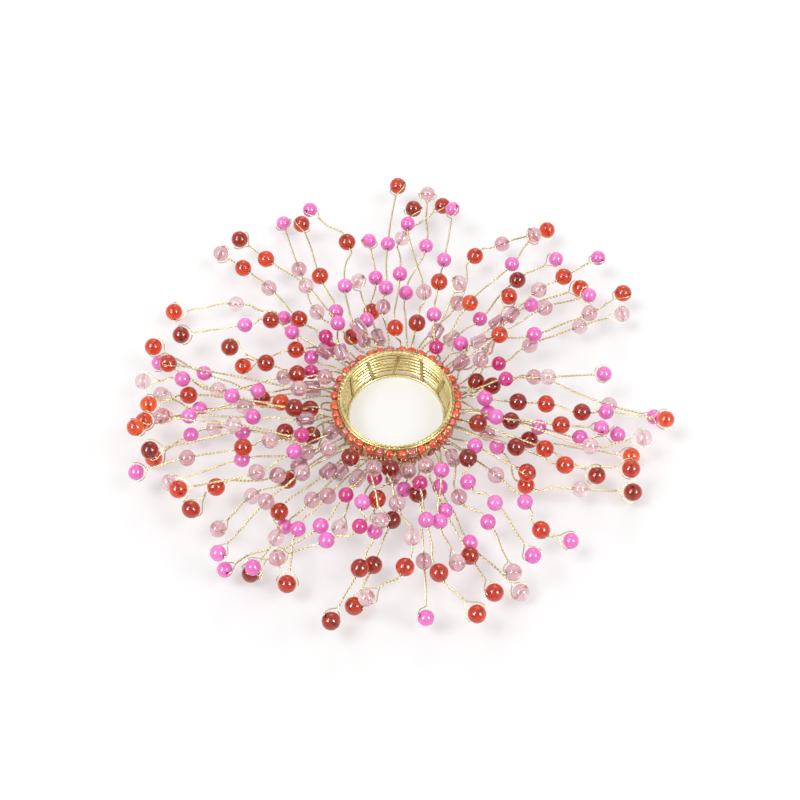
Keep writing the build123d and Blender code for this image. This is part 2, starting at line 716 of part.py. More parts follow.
def bead_shape(kind):
    """A glass bead about Z with a hole along Z: a ball, or a tube with rounded ends."""
    radius, half = BEADS[kind].diameter / 2, BEADS[kind].length / 2
    if kind == "T":
        flat = half - TUBE_BEAD_ROUNDING
        inner = radius - TUBE_BEAD_ROUNDING
        bow = TUBE_BEAD_ROUNDING * math.sqrt(0.5)
        outside = [
            Edge.make_line((BEAD_HOLE_RADIUS, 0, half), (inner, 0, half)),
            Edge.make_three_point_arc((inner, 0, half), (inner + bow, 0, flat + bow), (radius, 0, flat)),
            Edge.make_line((radius, 0, flat), (radius, 0, -flat)),
            Edge.make_three_point_arc((radius, 0, -flat), (inner + bow, 0, -flat - bow), (inner, 0, -half)),
            Edge.make_line((inner, 0, -half), (BEAD_HOLE_RADIUS, 0, -half)),
        ]
    else:
        half = math.sqrt(radius**2 - BEAD_HOLE_RADIUS**2)
        ends = (BEAD_HOLE_RADIUS, 0, half), (BEAD_HOLE_RADIUS, 0, -half)
        outside = [Edge.make_three_point_arc(ends[0], (radius, 0, 0), ends[1])]
    bore = Edge.make_line((BEAD_HOLE_RADIUS, 0, -half), (BEAD_HOLE_RADIUS, 0, half))
    return revolve(Face(Wire(outside + [bore])), axis=Axis.Z).solid()


def seed_shape():
    """A small short bead about Z with its hole along Z."""
    section = Rectangle(SEED_RADIUS - SEED_HOLE_RADIUS, SEED_LENGTH, align=(Align.MIN, Align.CENTER))
    section = Plane.XZ * (Pos(SEED_HOLE_RADIUS, 0) * section)
    outer = section.vertices().sort_by(Axis.X)[-2:]
    return revolve(fillet(outer, SEED_ROUNDING), axis=Axis.Z).solid()


def rim_hoop(radius, height):
    """A hoop of flat wire with a true round bore, standing from a height up."""
    section = Rectangle(HOOP_WIDTH, HOOP_HEIGHT, align=(Align.MIN, Align.MIN))
    section = Plane.XZ * (Pos(radius, height) * section)
    outer = section.vertices().sort_by(Axis.X)[-2:]
    return revolve(fillet(outer, HOOP_ROUNDING), axis=Axis.Z).solid()


def biarc(start, start_way, end, end_way):
    """Two arcs that leave one point along a direction and reach another along a direction."""
    span, ways = end - start, start_way + end_way
    bend = 2 * (1 - float(start_way @ end_way))
    along = float(span @ ways)
    reach = (math.sqrt(along**2 + bend * float(span @ span)) - along) / bend
    joint = ((start + start_way * reach) + (end - end_way * reach)) / 2
    first = Edge.make_tangent_arc(tuple(start), tuple(start_way), tuple(joint))
    second = Edge.make_tangent_arc(tuple(joint), tuple(first % 1), tuple(end))
    return [first, second]


def coil_point(angle):
    """A point of the band coil's centre line, and the way that the line runs there."""
    height = COIL_START + COIL_PITCH * angle / (2 * math.pi)
    climb = COIL_PITCH / (2 * math.pi)
    widen = climb * BAND_LEAN / BAND_HEIGHT
    radius = coil_radius(height)
    out = around(1.0, angle, 0.0)
    along = around(1.0, angle + math.pi / 2, 0.0)
    return around(radius, angle, height), unit(out * widen + along * radius + np.array([0, 0, climb]))


def band_coil():
    """The band: one unbroken wire wound in close turns on a slight cone."""
    edges = []
    for quarter in range(COIL_QUARTERS):
        here, way = coil_point(quarter * math.pi / 2)
        there, next_way = coil_point((quarter + 1) * math.pi / 2)
        edges += biarc(here, way, there, next_way)
    angles = np.linspace(0.0, COIL_QUARTERS * math.pi / 2, COIL_QUARTERS * QUARTER_STEPS + 1)
    steps = np.array([coil_point(angle)[0] for angle in angles])
    apart = np.linalg.norm(steps[:, None] - steps[None], axis=2)
    number = np.arange(len(steps))
    other_turn = np.abs(number[:, None] - number[None]) > 2 * QUARTER_STEPS
    least = float(apart[other_turn].min()) - 2 * COIL_WIRE_RADIUS
    print("coil's least gap to itself", round(least, 3), "turns", COIL_QUARTERS / 4)
    return round_tube(Wire(edges), COIL_WIRE_RADIUS)


def band_tie(angle):
    """A thin wire loop that binds the coil and both seed wires, in an upright plane."""
    top = BAND_HEIGHT - HOOP_HEIGHT - TIE_CLEARANCE - STRAND_RADIUS
    bottom = HOOP_HEIGHT + TIE_CLEARANCE + STRAND_RADIUS
    points = []
    for height in (bottom, top):
        inner = bore_line(height) + TIE_CLEARANCE + STRAND_RADIUS
        outer = row_radius(height) + 2 * STRAND_RADIUS + TIE_CLEARANCE
        ends = [around(inner, angle, height), around(outer, angle, height)]
        points += ends if height == bottom else ends[::-1]
    return round_tube(rounded_wire(points, [TIE_ROUNDING] * 4, closed=True), STRAND_RADIUS)


def seed_row(height, nodes, colour_shift):
    """A row of seed beads on their hoop: adds each bead to the node of its colour."""
    radius = row_radius(height)
    seed = seed_shape()
    bay = 2 * math.pi / BAYS
    room = 2 * STRAND_RADIUS / radius
    for number in range(BAYS * SEEDS_PER_BAY):
        share = (number % SEEDS_PER_BAY + 0.5) / SEEDS_PER_BAY
        angle = number // SEEDS_PER_BAY * bay + room + (bay - 2 * room) * share
        along = around(1.0, angle + math.pi / 2, 0.0)
        place = Plane(origin=tuple(around(radius, angle, height)), z_dir=tuple(along))
        colour = SEED_COLOURS[(number + colour_shift) % len(SEED_COLOURS)]
        name = "coral_seed_beads" if colour == "C" else "pink_lined_seed_beads"
        nodes.setdefault(name, []).append(place.location * seed)


def sector_name(angle):
    """Name of the sixth of the burst that an angle in radians lies in."""
    width = 2 * math.pi / len(SECTORS)
    return SECTORS[int((angle + width / 2) % (2 * math.pi) // width)]


def build():
    """Every node of the candle ring, by name, as a list of solids."""
    nodes = {
        "rim_hoop_bottom": [rim_hoop(CANDLE_BORE_RADIUS, 0.0)],
        "rim_hoop_top": [rim_hoop(bore_line(BAND_HEIGHT), BAND_HEIGHT - HOOP_HEIGHT)],
        "band_coil": [band_coil()],
        "band_ties": [band_tie(number * 2 * math.pi / BAYS) for number in range(BAYS)],
    }
    rows = {"lower": (LOWER_ROW_HEIGHT, 0), "upper": (UPPER_ROW_HEIGHT, UPPER_ROW_COLOUR_SHIFT)}
    for name, (height, colour_shift) in rows.items():
        ring = Pos(0, 0, height) * Torus(row_radius(height), STRAND_RADIUS)
        nodes[f"seed_wire_{name}"] = [ring.solid()]
        seed_row(height, nodes, colour_shift)
    shapes = {kind: bead_shape(kind) for kind in BEADS}
    ways = burst.directions(burst.centre)
    for place in np.flatnonzero(burst.bead):
        kind, centre, number = burst.kind[place], burst.centre[place], burst.stem[place]
        way = fork_directions(burst, place)[1] if burst.tip[place] else ways[place]
        bead = Plane(origin=tuple(centre), z_dir=tuple(way)).location * shapes[kind]
        nodes.setdefault(burst.node_of(place), []).append(bead)
    for number in range(len(burst.roots)):
        place = np.flatnonzero(burst.stem == number)[-1]
        centre = burst.centre[place]
        name = sector_name(math.atan2(centre[1], centre[0])) + "_stems"
        nodes.setdefault(name, []).append(stem(burst, number))
    return nodes


burst = Burst()
burst.settle()
burst.name_tips()
parts = build()
print("tightest bend of a stem", round(burst.tightest, 3))
os.makedirs("parts", exist_ok=True)
for name, solids in parts.items():
    shape = solids[0] if len(solids) == 1 else Compound(solids)
    export_step(shape, f"parts/{name}.step")
print("nodes", len(parts), "solids", sum(len(solids) for solids in parts.values()))
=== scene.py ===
import json
import logging
import math
from dataclasses import dataclass, field
from enum import Enum
from typing import Any

import bpy
import numpy as np
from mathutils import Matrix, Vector


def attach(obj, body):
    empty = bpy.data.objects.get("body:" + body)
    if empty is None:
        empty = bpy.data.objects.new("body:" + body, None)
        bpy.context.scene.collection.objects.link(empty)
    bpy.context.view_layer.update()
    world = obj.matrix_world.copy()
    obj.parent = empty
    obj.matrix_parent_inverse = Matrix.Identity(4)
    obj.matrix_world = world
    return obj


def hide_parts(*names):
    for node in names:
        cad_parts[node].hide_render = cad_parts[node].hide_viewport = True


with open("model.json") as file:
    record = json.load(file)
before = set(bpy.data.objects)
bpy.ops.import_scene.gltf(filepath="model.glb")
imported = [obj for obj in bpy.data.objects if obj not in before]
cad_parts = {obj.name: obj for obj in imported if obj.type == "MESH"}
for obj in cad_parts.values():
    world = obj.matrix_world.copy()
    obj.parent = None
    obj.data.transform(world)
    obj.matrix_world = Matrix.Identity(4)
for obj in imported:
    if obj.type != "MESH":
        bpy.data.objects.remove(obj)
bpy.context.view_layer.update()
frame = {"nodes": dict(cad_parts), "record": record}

# Candle ring: a wound gold wire band that slips round the foot of a taper candle, with a burst of
# twisted wire stems that carry glass beads. Places are worked out in millimetres, in the frame of
# the ring, and meshes are made in metres.
MM = 0.001
LOG = logging.getLogger("candle_ring")
Point = np.ndarray
Pixel = tuple[float, float]
Place = tuple[Point, Point]
Outline = list[tuple[float, float]]
Slot = tuple[float, list[float]]

# One line for each stem, from its end bead inwards: the kind of bead and its pixel
STEM_PIXELS = """
G398,186 P388,244 P386,288 R383,307
P369,241 P375,278 G371,311 T378,339
G413,209 P408,224 R424,292 G417,323
G443,206 R402,238 P400,274 O395,328
R428,194 P426,246 P406,293
P452,209 P444,260 G440,282 P434,315 M434,350
R359,281 P370,321 T363,342
P309,212 G347,242 P345,286 T355,327
G301,222 G320,276 P336,311 T340,354
P285,223 R299,269 R317,312 G353,337
G239,240 G266,259 R306,286 P338,324
R222,253 G243,268 R269,288 G299,319 M326,338
G174,312 R236,304 P284,318 P311,357
G181,335 P245,325 G271,320 P292,332
O547,230 R502,244 G475,256 R458,301
R534,235 P512,264 O470,303
R458,285 T437,334
P556,259 G518,280 P480,319 T451,338
P598,258 G564,277 R539,290 T510,316 R481,360
G580,288 P531,305 T498,323
P589,296 R545,308 O499,335 T459,364
G623,294 R589,313 P534,335 T478,342
R622,313 R580,326 R530,345 M499,364
P604,374 R548,377 M506,379
P462,346
G507,296 G473,383
G154,349 P204,373 P258,390
P158,361 R218,390 M311,372
G169,364 R299,389
G232,349 G266,363 G297,374 R326,377
O242,365 G296,350 M330,348
R143,382 P183,379 P232,396 G295,409
O151,407 G189,395 O281,403
R160,398 P199,408 G262,399
O138,425 P189,416 P253,417 T305,418
O146,418 R245,406 G310,409
R160,418 R234,425 M302,436
G149,451 P242,432 G315,437
G154,458 P191,435 R214,428 G285,432
P137,471 R187,458 G243,448 R270,440 R329,449
R169,483 P242,459 R307,453
G179,491 R257,473 P294,452
G190,507 G216,487 R278,475
R218,529 R252,496 G287,480
P219,555 R267,502 R302,473
P226,569 R276,538 G279,512
G249,575 P284,526 R312,500
P254,568 P321,526 M346,495
G287,584 P298,529 R328,496
R276,558 P326,540 M361,527 P362,502
G331,621 G360,568 P375,531 G377,499
G355,605 G373,565 G392,520 P404,489
R366,598 G405,567 R412,537 R397,503 G390,468
R339,528 T358,477
R380,521 R374,468
G351,458
P426,618 R424,561 G418,494 R408,470
G477,614 G440,572 P427,520 M420,483
G494,592 G469,556 P445,511 R424,467
R520,591 P470,543 P440,487
R457,563 P439,521 P441,470
R516,574 P488,522 R459,497 T452,456
P531,557 P495,503 P468,482 G468,458
P568,540 G544,531 P525,502 R496,475
G633,491 R580,489 O526,485 P497,447
G631,470 G565,465 G516,447
G597,475 G545,449 G478,424
O632,455 G530,439 R487,433
R643,439 R590,446 G511,421
P617,435 P580,438 P538,428 P488,412
P601,428 G561,425 P496,417
O665,419 P606,412 G582,412 G546,404 G518,402 P485,399
P655,417 R609,405 R534,377 G490,383
G527,473 P475,446
"""

# Beads half hidden near the ring, further in on the same stems
TUCKED_PIXELS = (
    "T321,407 T310,452 T319,460 T330,475 M349,471 G345,484 T359,475 T481,341 "
    "T345,350 T326,372 T327,347 T375,470 G371,482 R297,397 T321,422"
)

# The view in which the beads' places were read, in pixels of the picture
PICTURE_CENTRE = (400.0, 400.0)
FOCAL_PIXELS = 1600.0
MM_PER_PIXEL = 0.25
VIEW_ELEVATION_DEGREES = 58.0
AIM_X = 1.0
AIM_HEIGHT = 8.0
PICTURE_PIXELS = 800.0
SENSOR_WIDTH = 36.0
TINY = 1e-9
RIGHTWARD = np.array([1.0, 0.0, 0.0])
VIEW_ELEVATION = math.radians(VIEW_ELEVATION_DEGREES)
FORWARD = np.array([0.0, math.cos(VIEW_ELEVATION), -math.sin(VIEW_ELEVATION)])
UPWARD = np.array([0.0, math.sin(VIEW_ELEVATION), math.cos(VIEW_ELEVATION)])
EYE = np.array([AIM_X, 0.0, AIM_HEIGHT]) - FORWARD * FOCAL_PIXELS * MM_PER_PIXEL


class BeadKind(Enum):
    """The kinds of bead: letter in the table, word in names, diameter and length in millimetres."""

    HOT_PINK = ("P", "hot_pink", 4.0, 4.0)
    GARNET = ("G", "garnet", 4.6, 4.6)
    ROSE = ("R", "rose", 4.2, 4.2)
    ORANGE = ("O", "orange", 4.4, 4.4)
    MAGENTA = ("M", "magenta", 3.9, 3.9)
    MAUVE_TUBE = ("T", "mauve_tube", 3.4, 4.2)

    def __init__(self, letter: str, word: str, diameter: float, length: float) -> None:
        """Notes what each kind's row says."""
        self.letter, self.word = letter, word
        self.diameter, self.length = diameter, length


class Stop(Enum):
    """The places on a stem that aren't beads."""

    START = "the end of the stem's eye"
    LEAVE = "where the stem leaves the ring"
    BEND = "a free bend of the wire"


KIND_OF_LETTER = {kind.letter: kind for kind in BeadKind}
SECTORS = ("right", "back_right", "back_left", "left", "front_left", "front_right")


def unit(vector: Point) -> Point:
    """A vector, or each row of an array of them, at length one."""
    return vector / np.linalg.norm(vector, axis=-1, keepdims=True)


def around(radius: float, angle: float, height: float) -> Point:
    """The point at a radius, an angle in radians and a height."""
    return np.array([radius * math.cos(angle), radius * math.sin(angle), height])


def sight(pixel: Pixel) -> Point:
    """Direction from the eye through a pixel of the picture."""
    across, up = pixel[0] - PICTURE_CENTRE[0], PICTURE_CENTRE[1] - pixel[1]
    return unit(FORWARD * FOCAL_PIXELS + RIGHTWARD * across + UPWARD * up)


def on_sight(pixel: Pixel, height: float) -> Point:
    """The point at a height that shows at a pixel."""
    direction = sight(pixel)
    return EYE + direction * (height - EYE[2]) / direction[2]


@dataclass(frozen=True)
class BandSizes:
    """Sizes of the wound band and of the rows of seed beads round it, in millimetres."""

    bore_radius: float = 11.8
    height: float = 8.8
    lean: float = 1.6
    hoop_width: float = 0.8
    hoop_height: float = 0.8
    coil_wire_radius: float = 0.3
    strand_radius: float = 0.15
    eye_clearance: float = 0.07
    tie_clearance: float = 0.1
    tie_to_coil_share: float = 0.5
    bays: int = 12
    seed_radius: float = 1.1
    seed_hole_radius: float = 0.35
    seed_clearance: float = 0.1
    lower_row_inset: float = 1.5
    upper_row_inset: float = 0.3
    seeds_per_bay: int = 3
    seed_colours: str = "CCLCCCLCCLCC"
    upper_row_colour_shift: int = 5

    @property
    def coil_recess(self) -> float:
        """How far outside the bore line the coil's wire starts."""
        return 2 * self.strand_radius + (1 + self.tie_to_coil_share) * self.tie_clearance

    @property
    def coil_start(self) -> float:
        """Height of the coil's lowest point."""
        return self.hoop_height + self.coil_recess + self.coil_wire_radius

    @property
    def coil_rise(self) -> float:
        """How far the coil climbs."""
        return self.height - 2 * self.coil_start

    @property
    def coil_pitch(self) -> float:
        """How far the coil climbs in one turn."""
        wanted = 2 * (self.coil_wire_radius + self.strand_radius + self.eye_clearance)
        return 4 * self.coil_rise / math.floor(4 * self.coil_rise / wanted)

    @property
    def lower_row_height(self) -> float:
        """Height of the lower row of seed beads."""
        return self.lower_row_inset + self.seed_radius

    @property
    def upper_row_height(self) -> float:
        """Height of the upper row of seed beads."""
        return self.height - self.upper_row_inset - self.seed_radius

    @property
    def reach(self) -> float:
        """Radius of the ring with its seed beads."""
        return self.row_radius(self.upper_row_height) + self.seed_radius

    def bore_line(self, height: float) -> float:
        """Radius of the inside of the band at a height."""
        return self.bore_radius + self.lean * height / self.height

    def coil_radius(self, height: float) -> float:
        """Radius of the coil's centre line at a height."""
        return self.bore_line(height) + self.coil_recess + self.coil_wire_radius

    def row_radius(self, height: float) -> float:
        """Radius of the hoop that a row of seed beads is strung on."""
        return self.coil_radius(height) + self.coil_wire_radius + self.seed_clearance + self.seed_radius


BAND = BandSizes()


@dataclass
class BurstLayout:
    """Where each bead and each bend of the stems lies, in millimetres, once nothing touches.

    Each bead starts on its line of sight, at a level that its stem's tier gives, and moves along
    that line until it clears its neighbours. The wire's bends move freely.
    """

    stem_radius: float = 0.32
    eye_reach: float = 0.95
    fork_side_room: float = 0.75
    fork_reach_share: float = 2.0
    fork_neck_share: float = 0.8
    fork_tilt_degrees: float = 50.0
    fork_tilt_step: float = 2.4
    exit_shortest: float = 0.6
    exit_longest: float = 1.7
    exit_run_share: float = 0.3
    arc_margin: float = 0.12
    arc_drift: float = 0.2
    cut_share: float = 0.45
    first_run: float = 1.2
    first_rise_share: float = 0.25
    long_run: float = 9.0
    wander_share: float = 0.05
    tube_bead_rounding: float = 0.7
    burst_radii: tuple[float, ...] = (17.0, 26.0, 45.0, 70.0)
    burst_lowest: tuple[float, ...] = (5.0, 5.5, 5.0, 4.5)
    burst_highest: tuple[float, ...] = (14.0, 14.5, 12.0, 8.5)
    tier_share: float = 0.618
    bead_clearance: float = 0.25
    wire_clearance: float = 0.35
    ground_clearance: float = 0.4
    ring_clearance: float = 0.3
    sideways_limit: float = 0.9
    largest_move: float = 0.6
    straighten: float = 0.4
    sharp_turn_share: float = 0.5
    settled: float = 0.03
    rounds: int = 420
    cull_every: int = 12
    cull_margin: float = 4.0
    step_share: float = 0.45
    sideways_share: float = 0.35
    sight_share: float = 0.8
    spring_share: float = 0.02
    lever_share: float = 0.4
    slot_turn_share: float = 0.17
    place_rounds: int = 4
    place_digits: int = 6
    turning_tips: int = 24
    roots: list[tuple[float, float]] = field(default_factory=list)
    tip_names: dict[int, str] = field(default_factory=dict)

    def __post_init__(self) -> None:
        """Lays out every stem's chain of places and settles them."""
        stems = []
        for number, text in enumerate(STEM_PIXELS.split("\n")[1:-1]):
            tier = (number + 1) * self.tier_share % 1.0
            beads = [(kind, pixel, self.start_place(pixel, tier)) for kind, pixel in self.read_stem(text)]
            first = beads[0][2]
            stems.append((math.atan2(first[1], first[0]) % (2 * math.pi), tier, beads))
        stems.sort(key=lambda stem: stem[0])
        slots = self.best_slots([stem[0] for stem in stems])
        self.tiers = np.array([stem[1] for stem in stems])
        self.chain: list[tuple] = []
        for number, (_, _, beads) in enumerate(stems):
            self.lay_chain(number, slots[number], beads)
        self.kind, *rest = zip(*self.chain)
        self.stem, self.home, self.sight = (np.array(values) for values in rest)
        self.centre = self.home.copy()
        self.last = np.append(self.stem[1:] != self.stem[:-1], True)
        self.bead = np.array([isinstance(kind, BeadKind) for kind in self.kind])
        self.fixed = np.array([kind in (Stop.START, Stop.LEAVE) for kind in self.kind])
        self.tip = self.bead & self.last
        self.half = np.array([k.length / 2 if isinstance(k, BeadKind) else 0.0 for k in self.kind])
        self.radius = np.array([self.reach(kind) for kind in self.kind])
        self.make_capsules()
        self.settle()
        self.name_tips()

    def read_stem(self, text: str) -> list[tuple[BeadKind, Pixel]]:
        """Reads one line of the table.

        Args:
            text: The stem's beads and pixels, from its end bead inwards.

        Returns:
            Each bead's kind and pixel, from the ring outwards.
        """
        beads = []
        for word in reversed(text.split()):
            across, down = word[1:].split(",")
            beads.append((KIND_OF_LETTER[word[0]], (float(across), float(down))))
        return beads

    def start_place(self, pixel: Pixel, tier: float) -> Point:
        """First place of a bead.

        Args:
            pixel: Where the bead shows.
            tier: Its level, from 0 at the burst's lowest to 1 at its highest.

        Returns:
            The point on the line of sight at that level.
        """
        point = on_sight(pixel, AIM_HEIGHT)
        for _ in range(self.place_rounds):
            distance = math.hypot(point[0], point[1])
            low = np.interp(distance, self.burst_radii, self.burst_lowest)
            high = np.interp(distance, self.burst_radii, self.burst_highest)
            point = on_sight(pixel, low + (high - low) * tier)
        return point

    def root_slots(self, count: int) -> list[Slot]:
        """Where the stems can hook the coil.

        Args:
            count: How many stems there are.

        Returns:
            For each stem's eye, its angle between the ties and the heights of two turns.
        """
        slots = []
        bay = 2 * math.pi / BAND.bays
        spare = self.stem_radius + BAND.seed_clearance
        low = BAND.lower_row_height + BAND.seed_radius + spare
        high = BAND.upper_row_height - BAND.seed_radius - spare
        tie_room = 2 * BAND.strand_radius + self.stem_radius + 2 * BAND.tie_clearance
        tie_room /= BAND.coil_radius(low)
        for number in range(BAND.bays):
            stems = math.ceil((number + 1) * count / BAND.bays) - math.ceil(number * count / BAND.bays)
            for place in range(stems):
                angle = number * bay + tie_room + (bay - 2 * tie_room) * (place + 0.5) / stems
                turn_height = BAND.coil_start + BAND.coil_pitch * angle / (2 * math.pi)
                turns = (
                    math.ceil((low - turn_height) / BAND.coil_pitch),
                    math.floor((high - turn_height) / BAND.coil_pitch),
                )
                slots.append((angle, [turn_height + turn * BAND.coil_pitch for turn in turns]))
        return slots

    def best_slots(self, angles: list[float]) -> list[Slot]:
        """Turns the slots round to the stems that they serve with the least bending.

        Args:
            angles: The stems' angles, in order.

        Returns:
            Each stem's slot.
        """
        slots = self.root_slots(len(angles))
        turns = []
        furthest = round(self.slot_turn_share * len(slots))
        for shift in range(-furthest, furthest):
            turned = slots[shift:] + slots[:shift]
            apart = [math.remainder(a - s[0], 2 * math.pi) for a, s in zip(angles, turned)]
            turns.append((sum(value * value for value in apart), turned))
        return min(turns, key=lambda turn: turn[0])[1]

    def lay_chain(self, number: int, slot: Slot, beads: list[tuple[BeadKind, Pixel, Point]]) -> None:
        """Adds a stem's places, from its eye on the coil to its end bead.

        Each is its kind, its stem's number, where it starts and the line of sight that it moves along.

        Args:
            number: The stem's number.
            slot: Angle and heights of its eye.
            beads: Its beads, with where they show and where they start.
        """
        angle, heights = slot
        first = beads[0][2]
        height = heights[1] if first[2] > AIM_HEIGHT else heights[0]
        self.roots.append((angle, height))
        eye_radius = BAND.coil_radius(height) + self.eye_reach
        exit_radius = BAND.reach + self.stem_radius + BAND.seed_clearance
        self.chain.append((Stop.START, number, around(eye_radius, angle, height), FORWARD))
        self.chain.append((Stop.LEAVE, number, around(exit_radius, angle, height), FORWARD))
        before = around(exit_radius + self.first_run, angle, height)
        before[2] += (first[2] - height) * self.first_rise_share
        self.chain.append((Stop.BEND, number, before, FORWARD))
        for kind, pixel, place in beads:
            run = place - before
            if np.linalg.norm(run) > self.long_run:
                turned = np.cross(run, UPWARD) * self.wander_share * (-1) ** len(self.chain)
                self.chain.append((Stop.BEND, number, (before + place) / 2 + turned, FORWARD))
            self.chain.append((kind, number, place, sight(pixel)))
            before = place

    def reach(self, kind: BeadKind | Stop) -> float:
        """Finds how much room a place takes.

        Args:
            kind: The bead, or what the place is otherwise.

        Returns:
            Radius of the ball that the bead fills, or the wire's radius.
        """
        if isinstance(kind, Stop):
            return self.stem_radius
        if kind is not BeadKind.MAUVE_TUBE:
            return kind.diameter / 2
        flat = np.array([kind.diameter, kind.length]) / 2 - self.tube_bead_rounding
        return float(np.linalg.norm(flat)) + self.tube_bead_rounding

    def directions(self) -> Point:
        """Finds the way that the wire goes through each place.

        Returns:
            A direction for each.
        """
        centre = self.centre
        before = np.roll(centre, 1, axis=0)
        after = np.where(self.last[:, None], centre, np.roll(centre, -1, axis=0))
        first = np.array([kind is Stop.START for kind in self.kind])
        before = np.where(first[:, None], centre, before)
        return unit(after - before)

    def fork_reach(self) -> Point:
        """Distance from each end bead's centre back to where its two wires meet."""
        return self.radius * self.fork_reach_share

    def exits(self) -> tuple[Point, Point]:
        """Finds how far the wire runs straight past each place.

        Returns:
            The lengths inwards and outwards.
        """
        gap = np.linalg.norm(np.roll(self.centre, -1, axis=0) - self.centre, axis=1)
        ahead = np.roll(np.where(self.tip, self.fork_reach(), self.half), -1)
        free = (gap - self.half - ahead) * self.exit_run_share
        outward = np.clip(free, self.exit_shortest, self.exit_longest)
        return np.roll(outward, 1), outward

    def corners(self) -> tuple[Point, Point, Point]:
        """Finds where the wire turns.

        Returns:
            The wire's directions, and its corners before and after each place.
        """
        centre, way = self.centre, self.directions()
        inward, outward = self.exits()
        inline = (self.bead & ~self.tip)[:, None]
        enter = np.where(inline, centre - way * (self.half + inward)[:, None], centre)
        leave = np.where(inline, centre + way * (self.half + outward)[:, None], centre)
        fork = centre - way * self.fork_reach()[:, None]
        return way, np.where(self.tip[:, None], fork, enter), leave

    def make_capsules(self) -> None:
        """Lists what keeps clear: balls round beads and fork necks, and stretches of wire."""
        number = np.arange(len(self.kind))
        beads, tips = number[self.bead], number[self.tip]
        inline, runs = number[self.bead & ~self.tip], number[~self.last]
        self.parts = (beads, tips, inline, runs)
        self.first_node = np.concatenate([beads, tips, inline, runs])
        self.last_node = np.concatenate([beads, tips, inline, runs + 1])
        fork = self.fork_side_room + BAND.strand_radius
        sizes = [
            self.radius[beads] + np.where(self.tip[beads], fork, 0.0),
            self.radius[tips] / 2,
            np.full(len(inline), self.stem_radius),
            np.full(len(runs), self.stem_radius),
        ]
        self.size = np.concatenate(sizes)
        self.wire = np.arange(len(self.size)) >= len(beads)
        one, two = np.triu_indices(len(self.size), 1)
        same = self.stem[self.first_node[one]] == self.stem[self.first_node[two]]
        low = np.maximum(self.first_node[one], self.first_node[two])
        high = np.minimum(self.last_node[one], self.last_node[two])
        still = self.fixed[self.first_node] & self.fixed[self.last_node]
        keep = ~(same & (low - high <= 0)) & ~(still[one] & still[two])
        self.pairs = one[keep], two[keep]

    def capsule_ends(self) -> tuple[Point, Point]:
        """Finds the capsules' axes.

        Returns:
            Both ends of each axis.
        """
        beads, tips, inline, runs = self.parts
        centre = self.centre
        way, enter, leave = self.corners()
        neck = centre[tips] - way[tips] * (self.fork_reach()[tips] * self.fork_neck_share)[:, None]
        start = np.concatenate([centre[beads], neck, enter[inline], leave[runs]])
        end = np.concatenate([centre[beads], neck, leave[inline], enter[runs + 1]])
        return start, end

    def nearest(self) -> tuple[Point, Point, Point]:
        """Finds where the axes of each pair that could touch come nearest.

        Returns:
            Shares along the two axes, and the vector between those points.
        """
        start, end = self.capsule_ends()
        one, two = self.near
        d1, d2 = end[one] - start[one], end[two] - start[two]
        offset = start[one] - start[two]
        a = np.sum(d1 * d1, axis=1) + TINY
        e = np.sum(d2 * d2, axis=1) + TINY
        b = np.sum(d1 * d2, axis=1)
        c = np.sum(d1 * offset, axis=1)
        f = np.sum(d2 * offset, axis=1)
        s = np.clip((b * f - c * e) / np.maximum(a * e - b * b, TINY), 0.0, 1.0)
        t = np.clip((b * s + f) / e, 0.0, 1.0)
        s = np.clip((b * t - c) / a, 0.0, 1.0)
        return s, t, offset + d1 * s[:, None] - d2 * t[:, None]

    def near_pairs(self) -> tuple[Point, Point]:
        """Finds the pairs that could touch within the next rounds.

        Returns:
            Numbers of the pairs' first and second capsules.
        """
        one, two = self.pairs
        start, end = self.capsule_ends()
        middle = (start + end) / 2
        length = np.linalg.norm(end - start, axis=1) / 2 + self.size
        apart = np.linalg.norm(middle[one] - middle[two], axis=1)
        close = apart < length[one] + length[two] + self.cull_margin
        return one[close], two[close]

    def push_pairs(self) -> float:
        """Adds to the moves what takes pairs apart, mostly along the line of sight.

        Returns:
            The most that a pair lacks.
        """
        one, two = self.near
        s, t, between = self.nearest()
        distance = np.linalg.norm(between, axis=1)
        clear = np.where(self.wire[one] | self.wire[two], self.wire_clearance, self.bead_clearance)
        lack = self.size[one] + self.size[two] + clear - distance
        hit = lack > 0
        one, two, s, t, lack = one[hit], two[hit], s[hit], t[hit], lack[hit]
        way = between[hit] / np.maximum(distance[hit], TINY)[:, None]
        along = np.round(way @ FORWARD, self.place_digits)
        order = self.tiers[self.stem[self.first_node[two]]] - self.tiers[self.stem[self.first_node[one]]]
        side = np.where(along != 0, np.sign(along), np.sign(order + TINY))
        way = way + FORWARD * (side * self.sight_share)[:, None]
        move = way * (lack / 2)[:, None]
        s = np.where(self.fixed[self.first_node[one]], np.maximum(s, self.lever_share), s)
        t = np.where(self.fixed[self.first_node[two]], np.maximum(t, self.lever_share), t)
        np.add.at(self.push, self.first_node[one], move * (1 - s)[:, None])
        np.add.at(self.push, self.last_node[one], move * s[:, None])
        np.add.at(self.push, self.first_node[two], -move * (1 - t)[:, None])
        np.add.at(self.push, self.last_node[two], -move * t[:, None])
        return float(lack.max()) if len(lack) else 0.0

